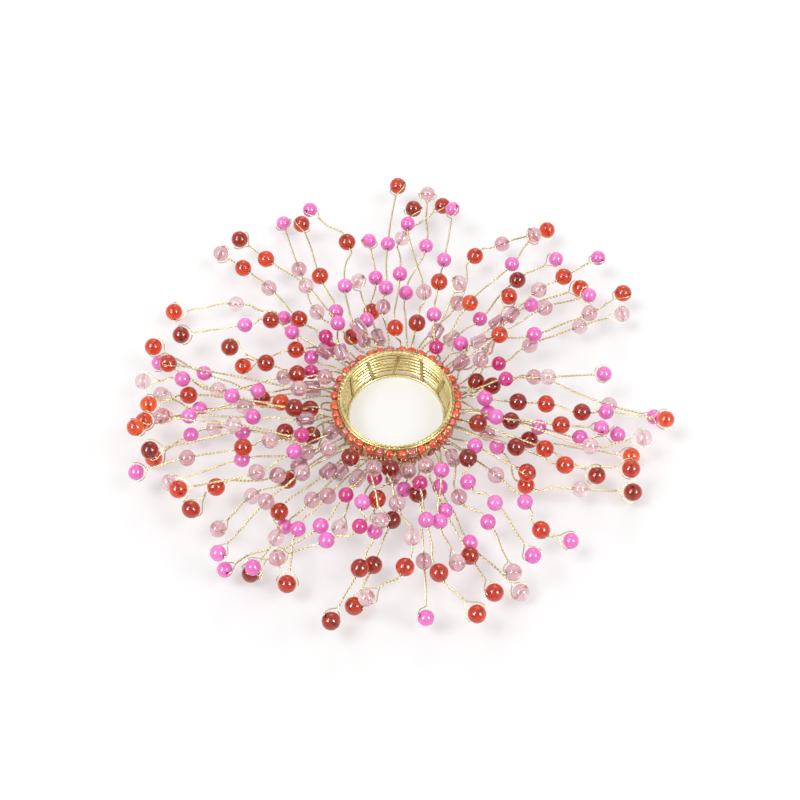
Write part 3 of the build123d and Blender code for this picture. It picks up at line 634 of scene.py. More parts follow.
    def push_chain(self) -> None:
        """Adds to the moves what keeps neighbours on one wire apart and its turns gentle."""
        centre, push = self.centre, self.push
        behind = np.flatnonzero(~self.last)
        ahead = behind + 1
        run = centre[ahead] - centre[behind]
        reach = np.where(self.tip, self.fork_reach(), self.half) + self.exit_shortest
        lack = np.maximum(reach[behind] + reach[ahead] - np.linalg.norm(run, axis=1), 0.0)
        move = unit(run) * (lack / 2)[:, None]
        np.add.at(push, ahead, move)
        np.add.at(push, behind, -move)
        inner = ahead[~self.last[ahead]]
        into = unit(centre[inner] - centre[inner - 1])
        out = unit(centre[inner + 1] - centre[inner])
        excess = np.maximum(self.sharp_turn_share - np.sum(into * out, axis=1), 0.0)[:, None]
        move = (out - into) * excess * self.straighten
        np.add.at(push, inner, move)
        np.add.at(push, inner - 1, -move / 2)
        np.add.at(push, inner + 1, -move / 2)

    def push_bounds(self) -> None:
        """Adds to the moves what keeps each place off the ground and outside the ring."""
        centre, push = self.centre, self.push
        reach = self.radius + np.where(self.tip, self.fork_side_room + BAND.strand_radius, 0.0)
        push[:, 2] += np.maximum(reach + self.ground_clearance - centre[:, 2], 0.0)
        axis_distance = np.hypot(centre[:, 0], centre[:, 1])
        outward = np.stack([centre[:, 0], centre[:, 1], np.zeros(len(centre))], axis=1)
        outward /= axis_distance[:, None]
        beside = axis_distance - BAND.reach
        above = centre[:, 2] - BAND.height
        room = np.hypot(np.maximum(beside, 0.0), np.maximum(above, 0.0))
        lack = np.maximum(reach + self.ring_clearance - room, 0.0)
        lack = np.where(beside > 0, lack, lack - beside) * (above < reach)
        over = BAND.bore_line(BAND.height) + BAND.hoop_width + reach - axis_distance
        push += outward * (lack + np.maximum(over, 0.0))[:, None]

    def settle(self) -> None:
        """Moves beads along their lines of sight, and bends freely, until nothing touches."""
        free = ~self.fixed
        bends = np.flatnonzero(free & ~self.bead)
        for turn in range(self.rounds):
            if turn % self.cull_every == 0:
                self.near = self.near_pairs()
            self.push = np.zeros_like(self.centre)
            worst = self.push_pairs()
            self.push_chain()
            self.push_bounds()
            push = self.push
            along = np.sum(push * self.sight, axis=1)[:, None] * self.sight
            push = np.where(self.bead[:, None], along + (push - along) * self.sideways_share, push)
            push *= self.step_share
            length = np.linalg.norm(push, axis=1)
            push *= np.minimum(1.0, self.largest_move / np.maximum(length, TINY))[:, None]
            centre = np.where(free[:, None], self.centre + push, self.centre)
            fade = self.spring_share * (1 - turn / self.rounds) ** 2
            centre[free] += (self.home[free] - centre[free]) * fade
            centre[bends] += ((centre[bends - 1] + centre[bends + 1]) / 2 - centre[bends]) * fade
            away = centre - self.home
            side = away - np.sum(away * self.sight, axis=1)[:, None] * self.sight
            length = np.linalg.norm(side, axis=1)
            over = np.maximum(1 - self.sideways_limit / np.maximum(length, TINY), 0.0)
            centre -= np.where(self.bead, over, 0.0)[:, None] * side
            self.centre = np.round(centre, self.place_digits)
            if worst < self.settled:
                break
        LOG.info("burst settled after %d rounds", turn)

    def name_tips(self) -> None:
        """Names the end beads that lie furthest out, in order of their angle."""
        tips = np.flatnonzero(self.tip)
        distance = np.hypot(self.centre[tips, 0], self.centre[tips, 1])
        outer = tips[np.argsort(-distance)[: self.turning_tips]]
        angle = np.arctan2(self.centre[outer, 1], self.centre[outer, 0])
        for number, place in enumerate(outer[np.argsort(angle)], start=1):
            self.tip_names[int(place)] = f"{self.kind[place].word}_tip_bead_{number:02d}"

    def fork_directions(self, place: int) -> tuple[Point, Point]:
        """Finds how a fork lies.

        Args:
            place: The end bead's number.

        Returns:
            The way that the stem points there, and the way of the wire through the bead.
        """
        way = self.directions()[place]
        level = unit(np.cross(way, [0.0, 0.0, 1.0]))
        tilt = math.radians(self.fork_tilt_degrees) * math.sin(self.fork_tilt_step * place)
        return way, level * math.cos(tilt) + np.cross(way, level) * math.sin(tilt)

    def stem_corners(self, number: int) -> tuple[list[Point], list[float]]:
        """Finds the course of a stem from its eye to the root of its fork.

        Args:
            number: The stem's number.

        Returns:
            Its corners, and how far from each the rounding starts.
        """
        _, enter, leave = self.corners()
        inward, outward = self.exits()
        points, limits = [], []
        for place in np.flatnonzero(self.stem == number):
            if self.bead[place] and not self.tip[place]:
                points += [enter[place], leave[place]]
                limits += [inward[place] - self.arc_margin, outward[place] - self.arc_margin]
            else:
                points.append(enter[place])
                limits.append(self.long_run)
        cuts = [0.0] * len(points)
        for corner in range(1, len(points) - 1):
            before, here, after = points[corner - 1 : corner + 2]
            shorter = min(np.linalg.norm(here - before), np.linalg.norm(after - here))
            turn = math.acos(min(1.0, float(unit(here - before) @ unit(after - here))))
            drift = self.arc_drift / max(1 / math.cos(turn / 2) - 1, TINY) * math.tan(turn / 2)
            cuts[corner] = min(self.cut_share * shorter, limits[corner], drift)
        return points, cuts


class Signal:
    """A node's output that Python's operators work on: each operator adds its Math node."""

    def __init__(self, graph: "Graph", socket: bpy.types.NodeSocket) -> None:
        """Wraps one output socket of a graph."""
        self.graph = graph
        self.socket = socket

    def maths(self, operation: str, *values: Any) -> "Signal":
        """The result of a Math node on some values."""
        return self.graph.add("ShaderNodeMath", dict(enumerate(values)), operation=operation)[0]

    def __add__(self, other: Any) -> "Signal":
        """The sum."""
        return self.maths("ADD", self, other)

    def __mul__(self, other: Any) -> "Signal":
        """The product."""
        return self.maths("MULTIPLY", self, other)

    def __truediv__(self, other: Any) -> "Signal":
        """The quotient."""
        return self.maths("DIVIDE", self, other)

    __radd__ = __add__
    __rmul__ = __mul__

    def cosine(self) -> "Signal":
        """The cosine."""
        return self.maths("COSINE", self)

    def sine(self) -> "Signal":
        """The sine."""
        return self.maths("SINE", self)

    def at_least(self, other: Any) -> "Signal":
        """The larger of it and another value."""
        return self.maths("MAXIMUM", self, other)

    def squared_off(self, exponent: float) -> "Signal":
        """The value with its sign kept and its size raised to a power."""
        return self.maths("SIGN", self) * self.maths("POWER", self.maths("ABSOLUTE", self), exponent)


class Step:
    """A node, whose outputs are read by name or number as signals."""

    def __init__(self, graph: "Graph", node: bpy.types.Node) -> None:
        """Wraps one node of a graph."""
        self.graph = graph
        self.node = node

    def __getitem__(self, key: str | int) -> Signal:
        """One output."""
        return Signal(self.graph, self.node.outputs[key])


class Graph:
    """A tree of shader or geometry nodes under construction."""

    def __init__(self, tree: bpy.types.NodeTree) -> None:
        """Starts on an empty tree."""
        self.tree = tree

    def add(self, kind: str, values: dict | None = None, **settings: Any) -> Step:
        """Adds a node.

        Args:
            kind: Its type.
            values: Plain values or signals for its inputs, by name or number.
            settings: Its settings, which are set first.

        Returns:
            The node.
        """
        node = self.tree.nodes.new(kind)
        for name, value in settings.items():
            setattr(node, name, value)
        for key, value in (values or {}).items():
            if isinstance(value, Signal):
                self.tree.links.new(value.socket, node.inputs[key])
            else:
                node.inputs[key].default_value = value
        return Step(self, node)

    def vector(self, operation: str, *values: Any) -> Signal:
        """The result of a Vector Math node on some vectors."""
        return self.add("ShaderNodeVectorMath", dict(enumerate(values)), operation=operation)[0]

    def scaled(self, vector: Any, factor: Any) -> Signal:
        """A vector times a number."""
        values = {0: vector, "Scale": factor}
        return self.add("ShaderNodeVectorMath", values, operation="SCALE")[0]

    def mixed(self, factor: Any, first: Any, second: Any) -> Signal:
        """A colour between two colours."""
        values = {0: factor, 6: first, 7: second}
        return self.add("ShaderNodeMix", values, data_type="RGBA")[2]

    def seen(self, in_metal: float = 1.0) -> Signal:
        """Where light is seen by the camera, through glass or in metal.

        Args:
            in_metal: How much of it metal and glass mirror.

        Returns:
            1 for what the camera and glass see, in_metal for what is mirrored, and 0 elsewhere.
        """
        rays = self.add("ShaderNodeLightPath")
        direct = rays["Is Camera Ray"].at_least(rays["Is Transmission Ray"])
        return direct.at_least(rays["Is Glossy Ray"] * in_metal)


Colour = tuple[float, float, float]
WHITE = (1.0, 1.0, 1.0, 1.0)
NOISE_MIDDLE = (0.5, 0.5, 0.5)
DISPLAY_GAMMA = 2.2


def solid_colour(red: float, green: float, blue: float) -> tuple[float, float, float, float]:
    """A colour given as it shows, from 0 to 1, as the linear colour that a shader takes."""
    return (*(value**DISPLAY_GAMMA for value in (red, green, blue)), 1.0)


@dataclass(frozen=True)
class Finish:
    """Wire or glass, paler or deeper from place to place, with dull spots and small bumps.

    Where it has no name of its own, it is named after its slot.
    """

    slot: str
    pale: Colour
    deep: Colour
    roughness: float = 0.22
    transmission: float = 0.0
    metallic: float = 0.0
    own_share: float = 0.0
    lump_size: float = 3.0
    lump_detail: float = 2.0
    dull_size: float = 0.12
    dull_detail: float = 3.0
    dull_roughness: float = 0.16
    dull_start: float = -0.5
    bump_size: float = 0.12
    bump_detail: float = 3.0
    bump_depth: float = 0.02
    bump_strength: float = 0.3
    coat: float = 0.0
    coat_roughness: float = 0.03
    glow_through: float = 0.0
    glow_depths: Colour = (0.4, 0.1, 0.25)
    refraction: float = 1.5
    name: str = ""

    def noise(self, graph: Graph, size: float, detail: float) -> Signal:
        """Noise over the piece.

        Args:
            graph: The material's graph.
            size: The size of its lumps in millimetres.
            detail: How much fine structure it has.

        Returns:
            The noise, from 0 to 1.
        """
        place = graph.add("ShaderNodeTexCoord")["Object"]
        values = {"Vector": place, "Scale": 1 / (size * MM), "Detail": detail}
        return graph.add("ShaderNodeTexNoise", values)["Fac"]

    def material(self) -> bpy.types.Material:
        """Makes the material.

        Returns:
            The material.
        """
        material = bpy.data.materials.new(self.name or f"{self.slot}_looks")
        material.use_nodes = True
        material.node_tree.nodes.clear()
        graph = Graph(material.node_tree)
        lumps = self.noise(graph, self.lump_size, self.lump_detail)
        # Each bead's shade mixes its own tone with painted shade that deepens the beads near the ring
        shade = graph.add("ShaderNodeAttribute", attribute_name="shade")["Fac"]
        factor = shade * self.own_share + lumps * (1 - self.own_share)
        dull = self.noise(graph, self.dull_size, self.dull_detail) * self.dull_roughness
        bump = {
            "Height": self.noise(graph, self.bump_size, self.bump_detail),
            "Distance": self.bump_depth * MM,
            "Strength": self.bump_strength,
        }
        shader = graph.add("ShaderNodeBsdfPrincipled", {
            "Base Color": graph.mixed(factor, solid_colour(*self.pale), solid_colour(*self.deep)),
            "Roughness": dull + (self.roughness + self.dull_start * self.dull_roughness),
            "Normal": graph.add("ShaderNodeBump", bump)["Normal"],
            "Metallic": self.metallic,
            "Transmission Weight": self.transmission,
            "Coat Weight": self.coat,
            "Coat Roughness": self.coat_roughness,
            "Subsurface Weight": self.glow_through,
            "Subsurface Radius": tuple(depth * MM for depth in self.glow_depths),
            "IOR": self.refraction,
        })
        graph.add("ShaderNodeOutputMaterial", {"Surface": shader["BSDF"]})
        return material


@dataclass(frozen=True)
class WireFinish(Finish):
    """Bright drawn wire: gold that is paler or deeper from place to place, with drawing marks."""

    metallic: float = 1.0


@dataclass(frozen=True)
class OpaqueGlass(Finish):
    """Opaque glass with a soft gloss, in a colour that differs a little from bead to bead."""

    own_share: float = 0.6
    lump_size: float = 1.6
    dull_size: float = 0.5
    dull_detail: float = 2.0
    dull_roughness: float = 0.12
    bump_size: float = 0.35
    bump_strength: float = 0.25
    coat: float = 0.9
    coat_roughness: float = 0.12
    glow_through: float = 0.12


@dataclass(frozen=True)
class ClearGlass(Finish):
    """Clear coloured glass with faint swirls, paler or deeper from bead to bead."""

    own_share: float = 0.75
    lump_size: float = 2.2
    lump_detail: float = 1.0
    dull_size: float = 0.8
    dull_detail: float = 2.0
    dull_roughness: float = 0.04
    dull_start: float = 0.0
    bump_size: float = 1.1
    bump_detail: float = 1.0
    bump_depth: float = 0.05
    coat: float = 0.5


class Looks(Enum):
    """The finishes of the candle ring."""

    STEM_WIRE = WireFinish(
        "gold_wire", (0.91, 0.87, 0.70), (0.69, 0.63, 0.45), 0.26, name="pale_gold_stem_wire"
    )
    BAND_WIRE = WireFinish(
        "gold_wire", (0.98, 0.94, 0.74), (0.84, 0.74, 0.46), 0.22, name="yellow_gold_band_wire"
    )
    TIE_WIRE = WireFinish(
        "gold_wire", (0.93, 0.87, 0.64), (0.60, 0.49, 0.27), 0.26, name="deep_gold_tie_wire"
    )
    HOT_PINK = OpaqueGlass("hot_pink_glass", (0.99, 0.54, 0.85), (0.94, 0.37, 0.74))
    GARNET = ClearGlass("garnet_glass", (0.96, 0.30, 0.07), (0.54, 0.06, 0.02), 0.06, 0.82)
    ROSE = ClearGlass("rose_glass", (1.00, 0.92, 0.93), (0.89, 0.68, 0.72), 0.08, 0.78)
    ORANGE = ClearGlass("orange_glass", (0.98, 0.43, 0.12), (0.88, 0.20, 0.04), 0.07, 0.78)
    MAGENTA = ClearGlass("magenta_glass", (1.00, 0.38, 0.74), (0.90, 0.18, 0.54), 0.1, 0.5)
    MAUVE_TUBE = ClearGlass("mauve_glass", (1.00, 0.93, 0.95), (0.86, 0.64, 0.70), 0.05, 0.78)
    CORAL_SEED = OpaqueGlass("coral_glass", (1.00, 0.50, 0.22), (0.87, 0.17, 0.03), 0.14)
    LINED_SEED = ClearGlass("pink_lined_glass", (1.00, 0.94, 0.94), (0.97, 0.74, 0.76), 0.05, 0.85)


def placed(name: str, data: Any) -> bpy.types.Object:
    """Puts something into the scene.

    Args:
        name: The object's name.
        data: A mesh, a lamp or a camera.

    Returns:
        The object that holds it.
    """
    made = bpy.data.objects.new(name, data)
    bpy.context.scene.collection.objects.link(made)
    return made


class Recipe:
    """A tree of geometry nodes with named inputs, which turns a mesh into a finished one."""

    def __init__(self, name: str, sizes: dict[str, float | int], objects: tuple[str, ...] = ()) -> None:
        """Makes the tree with its inputs.

        Args:
            name: The tree's name.
            sizes: Its named sizes and counts, with their usual values.
            objects: Its named objects.
        """
        self.tree = bpy.data.node_groups.new(name, "GeometryNodeTree")
        self.graph = Graph(self.tree)
        sockets = self.tree.interface
        sockets.new_socket("Geometry", in_out="OUTPUT", socket_type="NodeSocketGeometry")
        sockets.new_socket("Geometry", in_out="INPUT", socket_type="NodeSocketGeometry")
        for word, value in sizes.items():
            kind = "NodeSocketInt" if isinstance(value, int) else "NodeSocketFloat"
            sockets.new_socket(word, in_out="INPUT", socket_type=kind).default_value = value
        for word in objects:
            sockets.new_socket(word, in_out="INPUT", socket_type="NodeSocketObject")
        sockets.new_socket("Finish", in_out="INPUT", socket_type="NodeSocketMaterial")
        self.inputs = self.graph.add("NodeGroupInput")

    def attribute(self, name: str, kind: str = "FLOAT") -> Signal:
        """A named attribute of the mesh."""
        step = self.graph.add("GeometryNodeInputNamedAttribute", {"Name": name}, data_type=kind)
        return step["Attribute"]

    def moved(self, geometry: Signal, offset: Signal) -> Signal:
        """Geometry with each point moved by an offset."""
        return self.graph.add("GeometryNodeSetPosition", {"Geometry": geometry, "Offset": offset})[0]

    def uneven(self, geometry: Signal, size: float, amount: Any) -> Signal:
        """Geometry with its points moved by smooth noise.

        Args:
            geometry: The geometry.
            size: Size of the noise's lumps in millimetres.
            amount: How far a point moves, in metres.

        Returns:
            The geometry.
        """
        graph = self.graph
        place = graph.add("GeometryNodeInputPosition")[0]
        values = {"Vector": place, "Scale": 1 / (size * MM), "Detail": 0.0}
        noise = graph.add("ShaderNodeTexNoise", values)["Color"]
        centred = graph.vector("SUBTRACT", noise, NOISE_MIDDLE)
        return self.moved(geometry, graph.scaled(centred, amount))

    def swept(self, curve: Signal, radius: Any, sides: Any, closed: bool = True) -> Signal:
        """Sweeps round wire along a curve.

        Args:
            curve: The curve.
            radius: The wire's radius, in metres.
            sides: How many faces go round it.
            closed: Whether its ends are.

        Returns:
            The wire.
        """
        graph = self.graph
        ring = graph.add("GeometryNodeCurvePrimitiveCircle", {"Resolution": sides, "Radius": radius})[0]
        values = {"Curve": curve, "Profile Curve": ring, "Fill Caps": closed}
        return graph.add("GeometryNodeCurveToMesh", values)[0]

    def finish(self, *geometry: Signal) -> "Recipe":
        """Joins what was made, realizes it and gives it its material.

        Args:
            geometry: The parts.

        Returns:
            This recipe, ready to run.
        """
        graph = self.graph
        joined = graph.add("GeometryNodeJoinGeometry")
        for part in geometry:
            graph.tree.links.new(part.socket, joined.node.inputs[0])
        smooth = graph.add("GeometryNodeSetShadeSmooth", {"Geometry": joined[0]})[0]
        real = graph.add("GeometryNodeRealizeInstances", {"Geometry": smooth})[0]
        values = {"Geometry": real, "Material": self.inputs["Finish"]}
        dressed = graph.add("GeometryNodeSetMaterial", values)[0]
        graph.add("NodeGroupOutput", {"Geometry": dressed})
        return self

    def run(
        self, name: str, mesh: bpy.types.Mesh, material: bpy.types.Material, **values: Any
    ) -> bpy.types.Object:
        """Runs the tree on a mesh.

        Args:
            name: Name of the piece.
            mesh: What the tree starts from.
            material: The finish.
            values: Inputs by name, with _ for a space.

        Returns:
            The finished piece, a plain mesh at the origin.
        """
        maker = placed(f"{name}_maker", mesh)
        modifier = maker.modifiers.new("recipe", "NODES")
        modifier.node_group = self.tree
        given = {word.replace("_", " "): value for word, value in values.items()} | {"Finish": material}
        for item in self.tree.interface.items_tree:
            if item.in_out == "INPUT" and item.name in given:
                modifier[item.identifier] = given[item.name]
        bpy.context.view_layer.update()
        evaluated = maker.evaluated_get(bpy.context.evaluated_depsgraph_get())
        made = bpy.data.meshes.new_from_object(evaluated)
        bpy.data.objects.remove(maker)
        made.name = name
        return placed(name, made)


def strand_recipe() -> Recipe:
    """Two strands wound round each centre line, and one along each open loop.

    Returns:
        The recipe.
    """
    recipe = Recipe("wind_strands", {"strand radius": 0.00015, "step": 0.0003, "sides": 6})
    strand_spacing = 1.05
    graph, inputs = recipe.graph, recipe.inputs
    is_loop = recipe.attribute("loop") + 0.0
    chosen = graph.add("FunctionNodeCompare", {0: is_loop, 1: 0.5}, operation="GREATER_THAN")[0]
    values = {"Geometry": inputs["Geometry"], "Selection": chosen}
    split = graph.add("GeometryNodeSeparateGeometry", values, domain="POINT")
    loops = graph.add("GeometryNodeMeshToCurve", {"Mesh": split["Selection"]})[0]
    stems = graph.add("GeometryNodeMeshToCurve", {"Mesh": split["Inverted"]})[0]
    values = {"Curve": stems, "Length": inputs["step"]}
    stems = graph.add("GeometryNodeResampleCurve", values, mode="LENGTH")[0]
    across = graph.vector("NORMALIZE", recipe.attribute("across", "FLOAT_VECTOR"))
    turned = recipe.attribute("turned")
    beside = graph.vector("CROSS_PRODUCT", graph.add("GeometryNodeInputTangent")[0], across)
    parts = []
    for phase in (0.0, math.pi):
        angle = turned + phase
        offset = graph.vector(
            "ADD", graph.scaled(across, angle.cosine()), graph.scaled(beside, angle.sine())
        )
        strand = recipe.moved(stems, graph.scaled(offset, inputs["strand radius"] * strand_spacing))
        parts.append(recipe.swept(strand, inputs["strand radius"], inputs["sides"]))
    parts.append(recipe.swept(loops, inputs["strand radius"], inputs["sides"]))
    return recipe.finish(*parts)


def bead_recipe() -> Recipe:
    """A bead at each point, turned to its axis, each a little different.

    Returns:
        The recipe.
    """
    recipe = Recipe("thread_beads", {"unevenness": 0.00005}, ("Bead",))
    graph, inputs = recipe.graph, recipe.inputs
    values = {"Vector": recipe.attribute("axis", "FLOAT_VECTOR")}
    facing = graph.add("FunctionNodeAlignRotationToVector", values, axis="Z")[0]
    values = {"Axis": (0.0, 0.0, 1.0), "Angle": recipe.attribute("spin")}
    spin = graph.add("FunctionNodeAxisAngleToRotation", values)[0]
    values = {"Rotation": facing, "Rotate By": spin}
    turned = graph.add("FunctionNodeRotateRotation", values, rotation_space="LOCAL")[0]
    bead = graph.add("GeometryNodeObjectInfo", {"Object": inputs["Bead"]})["Geometry"]
    values = {
        "Points": inputs["Geometry"],
        "Instance": bead,
        "Rotation": turned,
        "Scale": recipe.attribute("grow", "FLOAT_VECTOR"),
    }
    beads = graph.add("GeometryNodeInstanceOnPoints", values)[0]
    real = graph.add("GeometryNodeRealizeInstances", {"Geometry": beads})[0]
    lump_size = 2.5
    return recipe.finish(recipe.uneven(real, lump_size, inputs["unevenness"]))


def coil_recipe() -> Recipe:
    """One wire wound in close turns on a slight cone.

    Returns:
        The recipe.
    """
    sizes = {
        "turns": 5.0, "lower radius": 0.0125, "upper radius": 0.0135, "rise": 0.006, "start": 0.001,
        "start angle": 0.0, "wire radius": 0.0003, "unevenness": 0.00005, "steps": 96, "sides": 10,
    }
    recipe = Recipe("wind_coil", sizes)
    graph, inputs = recipe.graph, recipe.inputs
    turn = graph.add("ShaderNodeCombineXYZ", {"Z": inputs["start angle"]})[0]
    values = {
        "Resolution": inputs["steps"],
        "Rotations": inputs["turns"],
        "Start Radius": inputs["lower radius"],
        "End Radius": inputs["upper radius"],
        "Height": inputs["rise"],
    }
    line = graph.add("GeometryNodeCurveSpiral", values)[0]
    lift = graph.add("ShaderNodeCombineXYZ", {"Z": inputs["start"]})[0]
    values = {"Geometry": line, "Translation": lift, "Rotation": turn}
    line = graph.add("GeometryNodeTransform", values)[0]
    lump_size = 2.0
    line = recipe.uneven(line, lump_size, inputs["unevenness"])
    return recipe.finish(recipe.swept(line, inputs["wire radius"], inputs["sides"]))


def whipping_recipe() -> Recipe:
    """A fine wire wound round and round a hoop of flat wire.

    Returns:
        The recipe.
    """
    sizes = {
        "hoop radius": 0.012, "height": 0.0004, "half width": 0.0004, "half height": 0.0004,
        "turns": 95, "steps": 12, "wire radius": 0.00007, "sides": 6,
    }
    recipe = Recipe("whip_hoop", sizes)
    graph, inputs = recipe.graph, recipe.inputs
    count = inputs["turns"] * inputs["steps"]
    line = graph.add("GeometryNodeMeshLine", {"Count": count})[0]
    share = graph.add("GeometryNodeInputIndex")[0] / count
    angle = share * (2 * math.pi)
    winding = angle * inputs["turns"]
    squareness = 0.5
    radius = inputs["hoop radius"] + inputs["half width"] * winding.cosine().squared_off(squareness)
    height = inputs["height"] + inputs["half height"] * winding.sine().squared_off(squareness)
    values = {"X": radius * angle.cosine(), "Y": radius * angle.sine(), "Z": height}
    place = graph.add("ShaderNodeCombineXYZ", values)[0]
    line = graph.add("GeometryNodeSetPosition", {"Geometry": line, "Position": place})[0]
    curve = graph.add("GeometryNodeMeshToCurve", {"Mesh": line})[0]
    curve = graph.add("GeometryNodeSetSplineCyclic", {"Geometry": curve, "Cyclic": True})[0]
    return recipe.finish(recipe.swept(curve, inputs["wire radius"], inputs["sides"]))


def wire_recipe() -> Recipe:
    """Round wire along the edges of a mesh.

    Returns:
        The recipe.
    """
    recipe = Recipe("draw_wire", {"wire radius": 0.00015, "sides": 8})
    inputs = recipe.inputs
    curve = recipe.graph.add("GeometryNodeMeshToCurve", {"Mesh": inputs["Geometry"]})[0]
    return recipe.finish(recipe.swept(curve, inputs["wire radius"], inputs["sides"]))


@dataclass
class Line:
    """A line of wire to be drawn, in millimetres, with what the recipe reads at its points."""

    points: Point
    closed: bool = False
    across: Point | None = None
    turned: Point | None = None
    loop: bool = False


def line_mesh(name: str, lines: list[Line]) -> bpy.types.Mesh:
    """Makes a mesh of edges with the attributes across, turned and loop.

    Args:
        name: The mesh's name.
        lines: The lines that its edges follow.

    Returns:
        The mesh, in metres.
    """
    places, edges, across, turned, loop = [], [], [], [], []
    for line in lines:
        first, count = len(places), len(line.points)
        places += [tuple(point * MM) for point in line.points]
        edges += [(first + number, first + number + 1) for number in range(count - 1)]
        if line.closed:
            edges.append((first + count - 1, first))
        across += list(line.across if line.across is not None else np.zeros((count, 3)))
        turned += list(line.turned if line.turned is not None else np.zeros(count))
        loop += [1.0 if line.loop else 0.0] * count
    mesh = bpy.data.meshes.new(name)
    mesh.from_pydata(places, edges, [])
    give_attributes(mesh, across=across, turned=turned, loop=loop)
    return mesh


def give_attributes(mesh: bpy.types.Mesh, **attributes: list) -> None:
    """Gives the points of a mesh their values.

    Args:
        mesh: The mesh.
        attributes: A number or a vector for each point, under each attribute's name.
    """
    for name, given in attributes.items():
        values = np.array(given, dtype=np.float32)
        is_vector = values.ndim == 2
        layer = mesh.attributes.new(name, "FLOAT_VECTOR" if is_vector else "FLOAT", "POINT")
        layer.data.foreach_set("vector" if is_vector else "value", values.ravel())


def bent(start: Point, corner: Point, end: Point, steps: int) -> list[Point]:
    """The points of a bend in so many stretches, from its start to its end, that leans on a corner."""
    shares = np.linspace(0.0, 1.0, steps + 1)
    return [start * (1 - t) ** 2 + corner * 2 * t * (1 - t) + end * t**2 for t in shares]


def rounded_line(points: list[Point], cuts: list[float], steps: int = 6) -> Point:
    """Draws a line through corners that are rounded off.

    Args:
        points: The corners, with the two ends.
        cuts: How far from each corner its rounding starts.
        steps: How many stretches each rounding has.

    Returns:
        The points of the line.
    """
    line = [points[0]]
    for number in range(1, len(points) - 1):
        before, corner, after = points[number - 1 : number + 2]
        start = corner + unit(before - corner) * cuts[number]
        end = corner + unit(after - corner) * cuts[number]
        line += bent(start, corner, end, steps)
    return np.array([*line, points[-1]])


def flowing_line(points: list[Point], steps: int = 5) -> Point:
    """Draws a smooth line that leans on some points.

    Args:
        points: The points. It starts at the first and ends at the last.
        steps: How many stretches it has at each point.

    Returns:
        The points of the line.
    """
    line = [points[0]]
    for number in range(1, len(points) - 1):
        before, corner, after = points[number - 1 : number + 2]
        start = before if number == 1 else (before + corner) / 2
        end = after if number == len(points) - 2 else (corner + after) / 2
        line += bent(start, corner, end, steps)[1:]
    return np.array(line)


def carried_across(points: Point, last: Point) -> Point:
    """A direction carried back along a line without turning about it.

    Args:
        points: The line.
        last: The direction at its end.

    Returns:
        The direction at each point.
    """
    ways = unit(np.diff(points, axis=0))
    found = [last]
    for way in reversed(np.vstack([ways, ways[-1]])[:-1]):
        across = found[-1] - way * float(found[-1] @ way)
        found.append(unit(across))
    return np.array(found[::-1])


def rounded_outline(middle: tuple[float, float], flat: tuple[float, float], rounding: float) -> Outline:
    """Outline of flat wire with rounded edges.

    Args:
        middle: Radius and height of its middle.
        flat: Half the width and half the height between the roundings.
        rounding: Radius of the roundings.

    Returns:
        The outline, as radius and height.
    """
    outline = []
    for quarter in range(-1, 3):
        facing = (quarter + 0.5) * math.pi / 2
        side, rise = math.copysign(flat[0], math.cos(facing)), math.copysign(flat[1], math.sin(facing))
        for share in (0.0, 0.5, 1.0):
            turn = (quarter + share) * math.pi / 2
            outline.append((
                middle[0] + side + rounding * math.cos(turn),
                middle[1] + rise + rounding * math.sin(turn),
            ))
    return outline


def round_corner(inner: float, flat: float, rounding: float, steps: int) -> Outline:
    """Points on a quarter of a circle, from its top outwards."""
    turns = np.linspace(0.0, math.pi / 2, steps)
    return [(inner + rounding * math.sin(turn), flat + rounding * math.cos(turn)) for turn in turns]


def lathe_mesh(name: str, profile: Outline, segments: int) -> bpy.types.Mesh:
    """A ring-shaped solid turned about Z.

    Args:
        name: The mesh's name.
        profile: The closed outline, as radius and height in millimetres, with the outside upwards.
        segments: How many faces go round.

    Returns:
        The mesh, in metres.
    """
    places, faces = [], []
    for segment in range(segments):
        angle = 2 * math.pi * segment / segments
        places += [tuple(around(radius * MM, angle, height * MM)) for radius, height in profile]
    count = len(profile)
    for segment in range(segments):
        here, there = segment * count, (segment + 1) % segments * count
        for number in range(count):
            after = (number + 1) % count
            faces.append((here + number, there + number, there + after, here + after))
    mesh = bpy.data.meshes.new(name)
    mesh.from_pydata(places, [], faces)
    mesh.shade_smooth()
    return mesh


def sector_name(point: Point) -> str:
    """Name of the sixth of the burst that a point lies in."""
    turn = math.atan2(point[1], point[0]) / (2 * math.pi)
    return SECTORS[int((turn + 0.5 / len(SECTORS)) % 1.0 * len(SECTORS))]


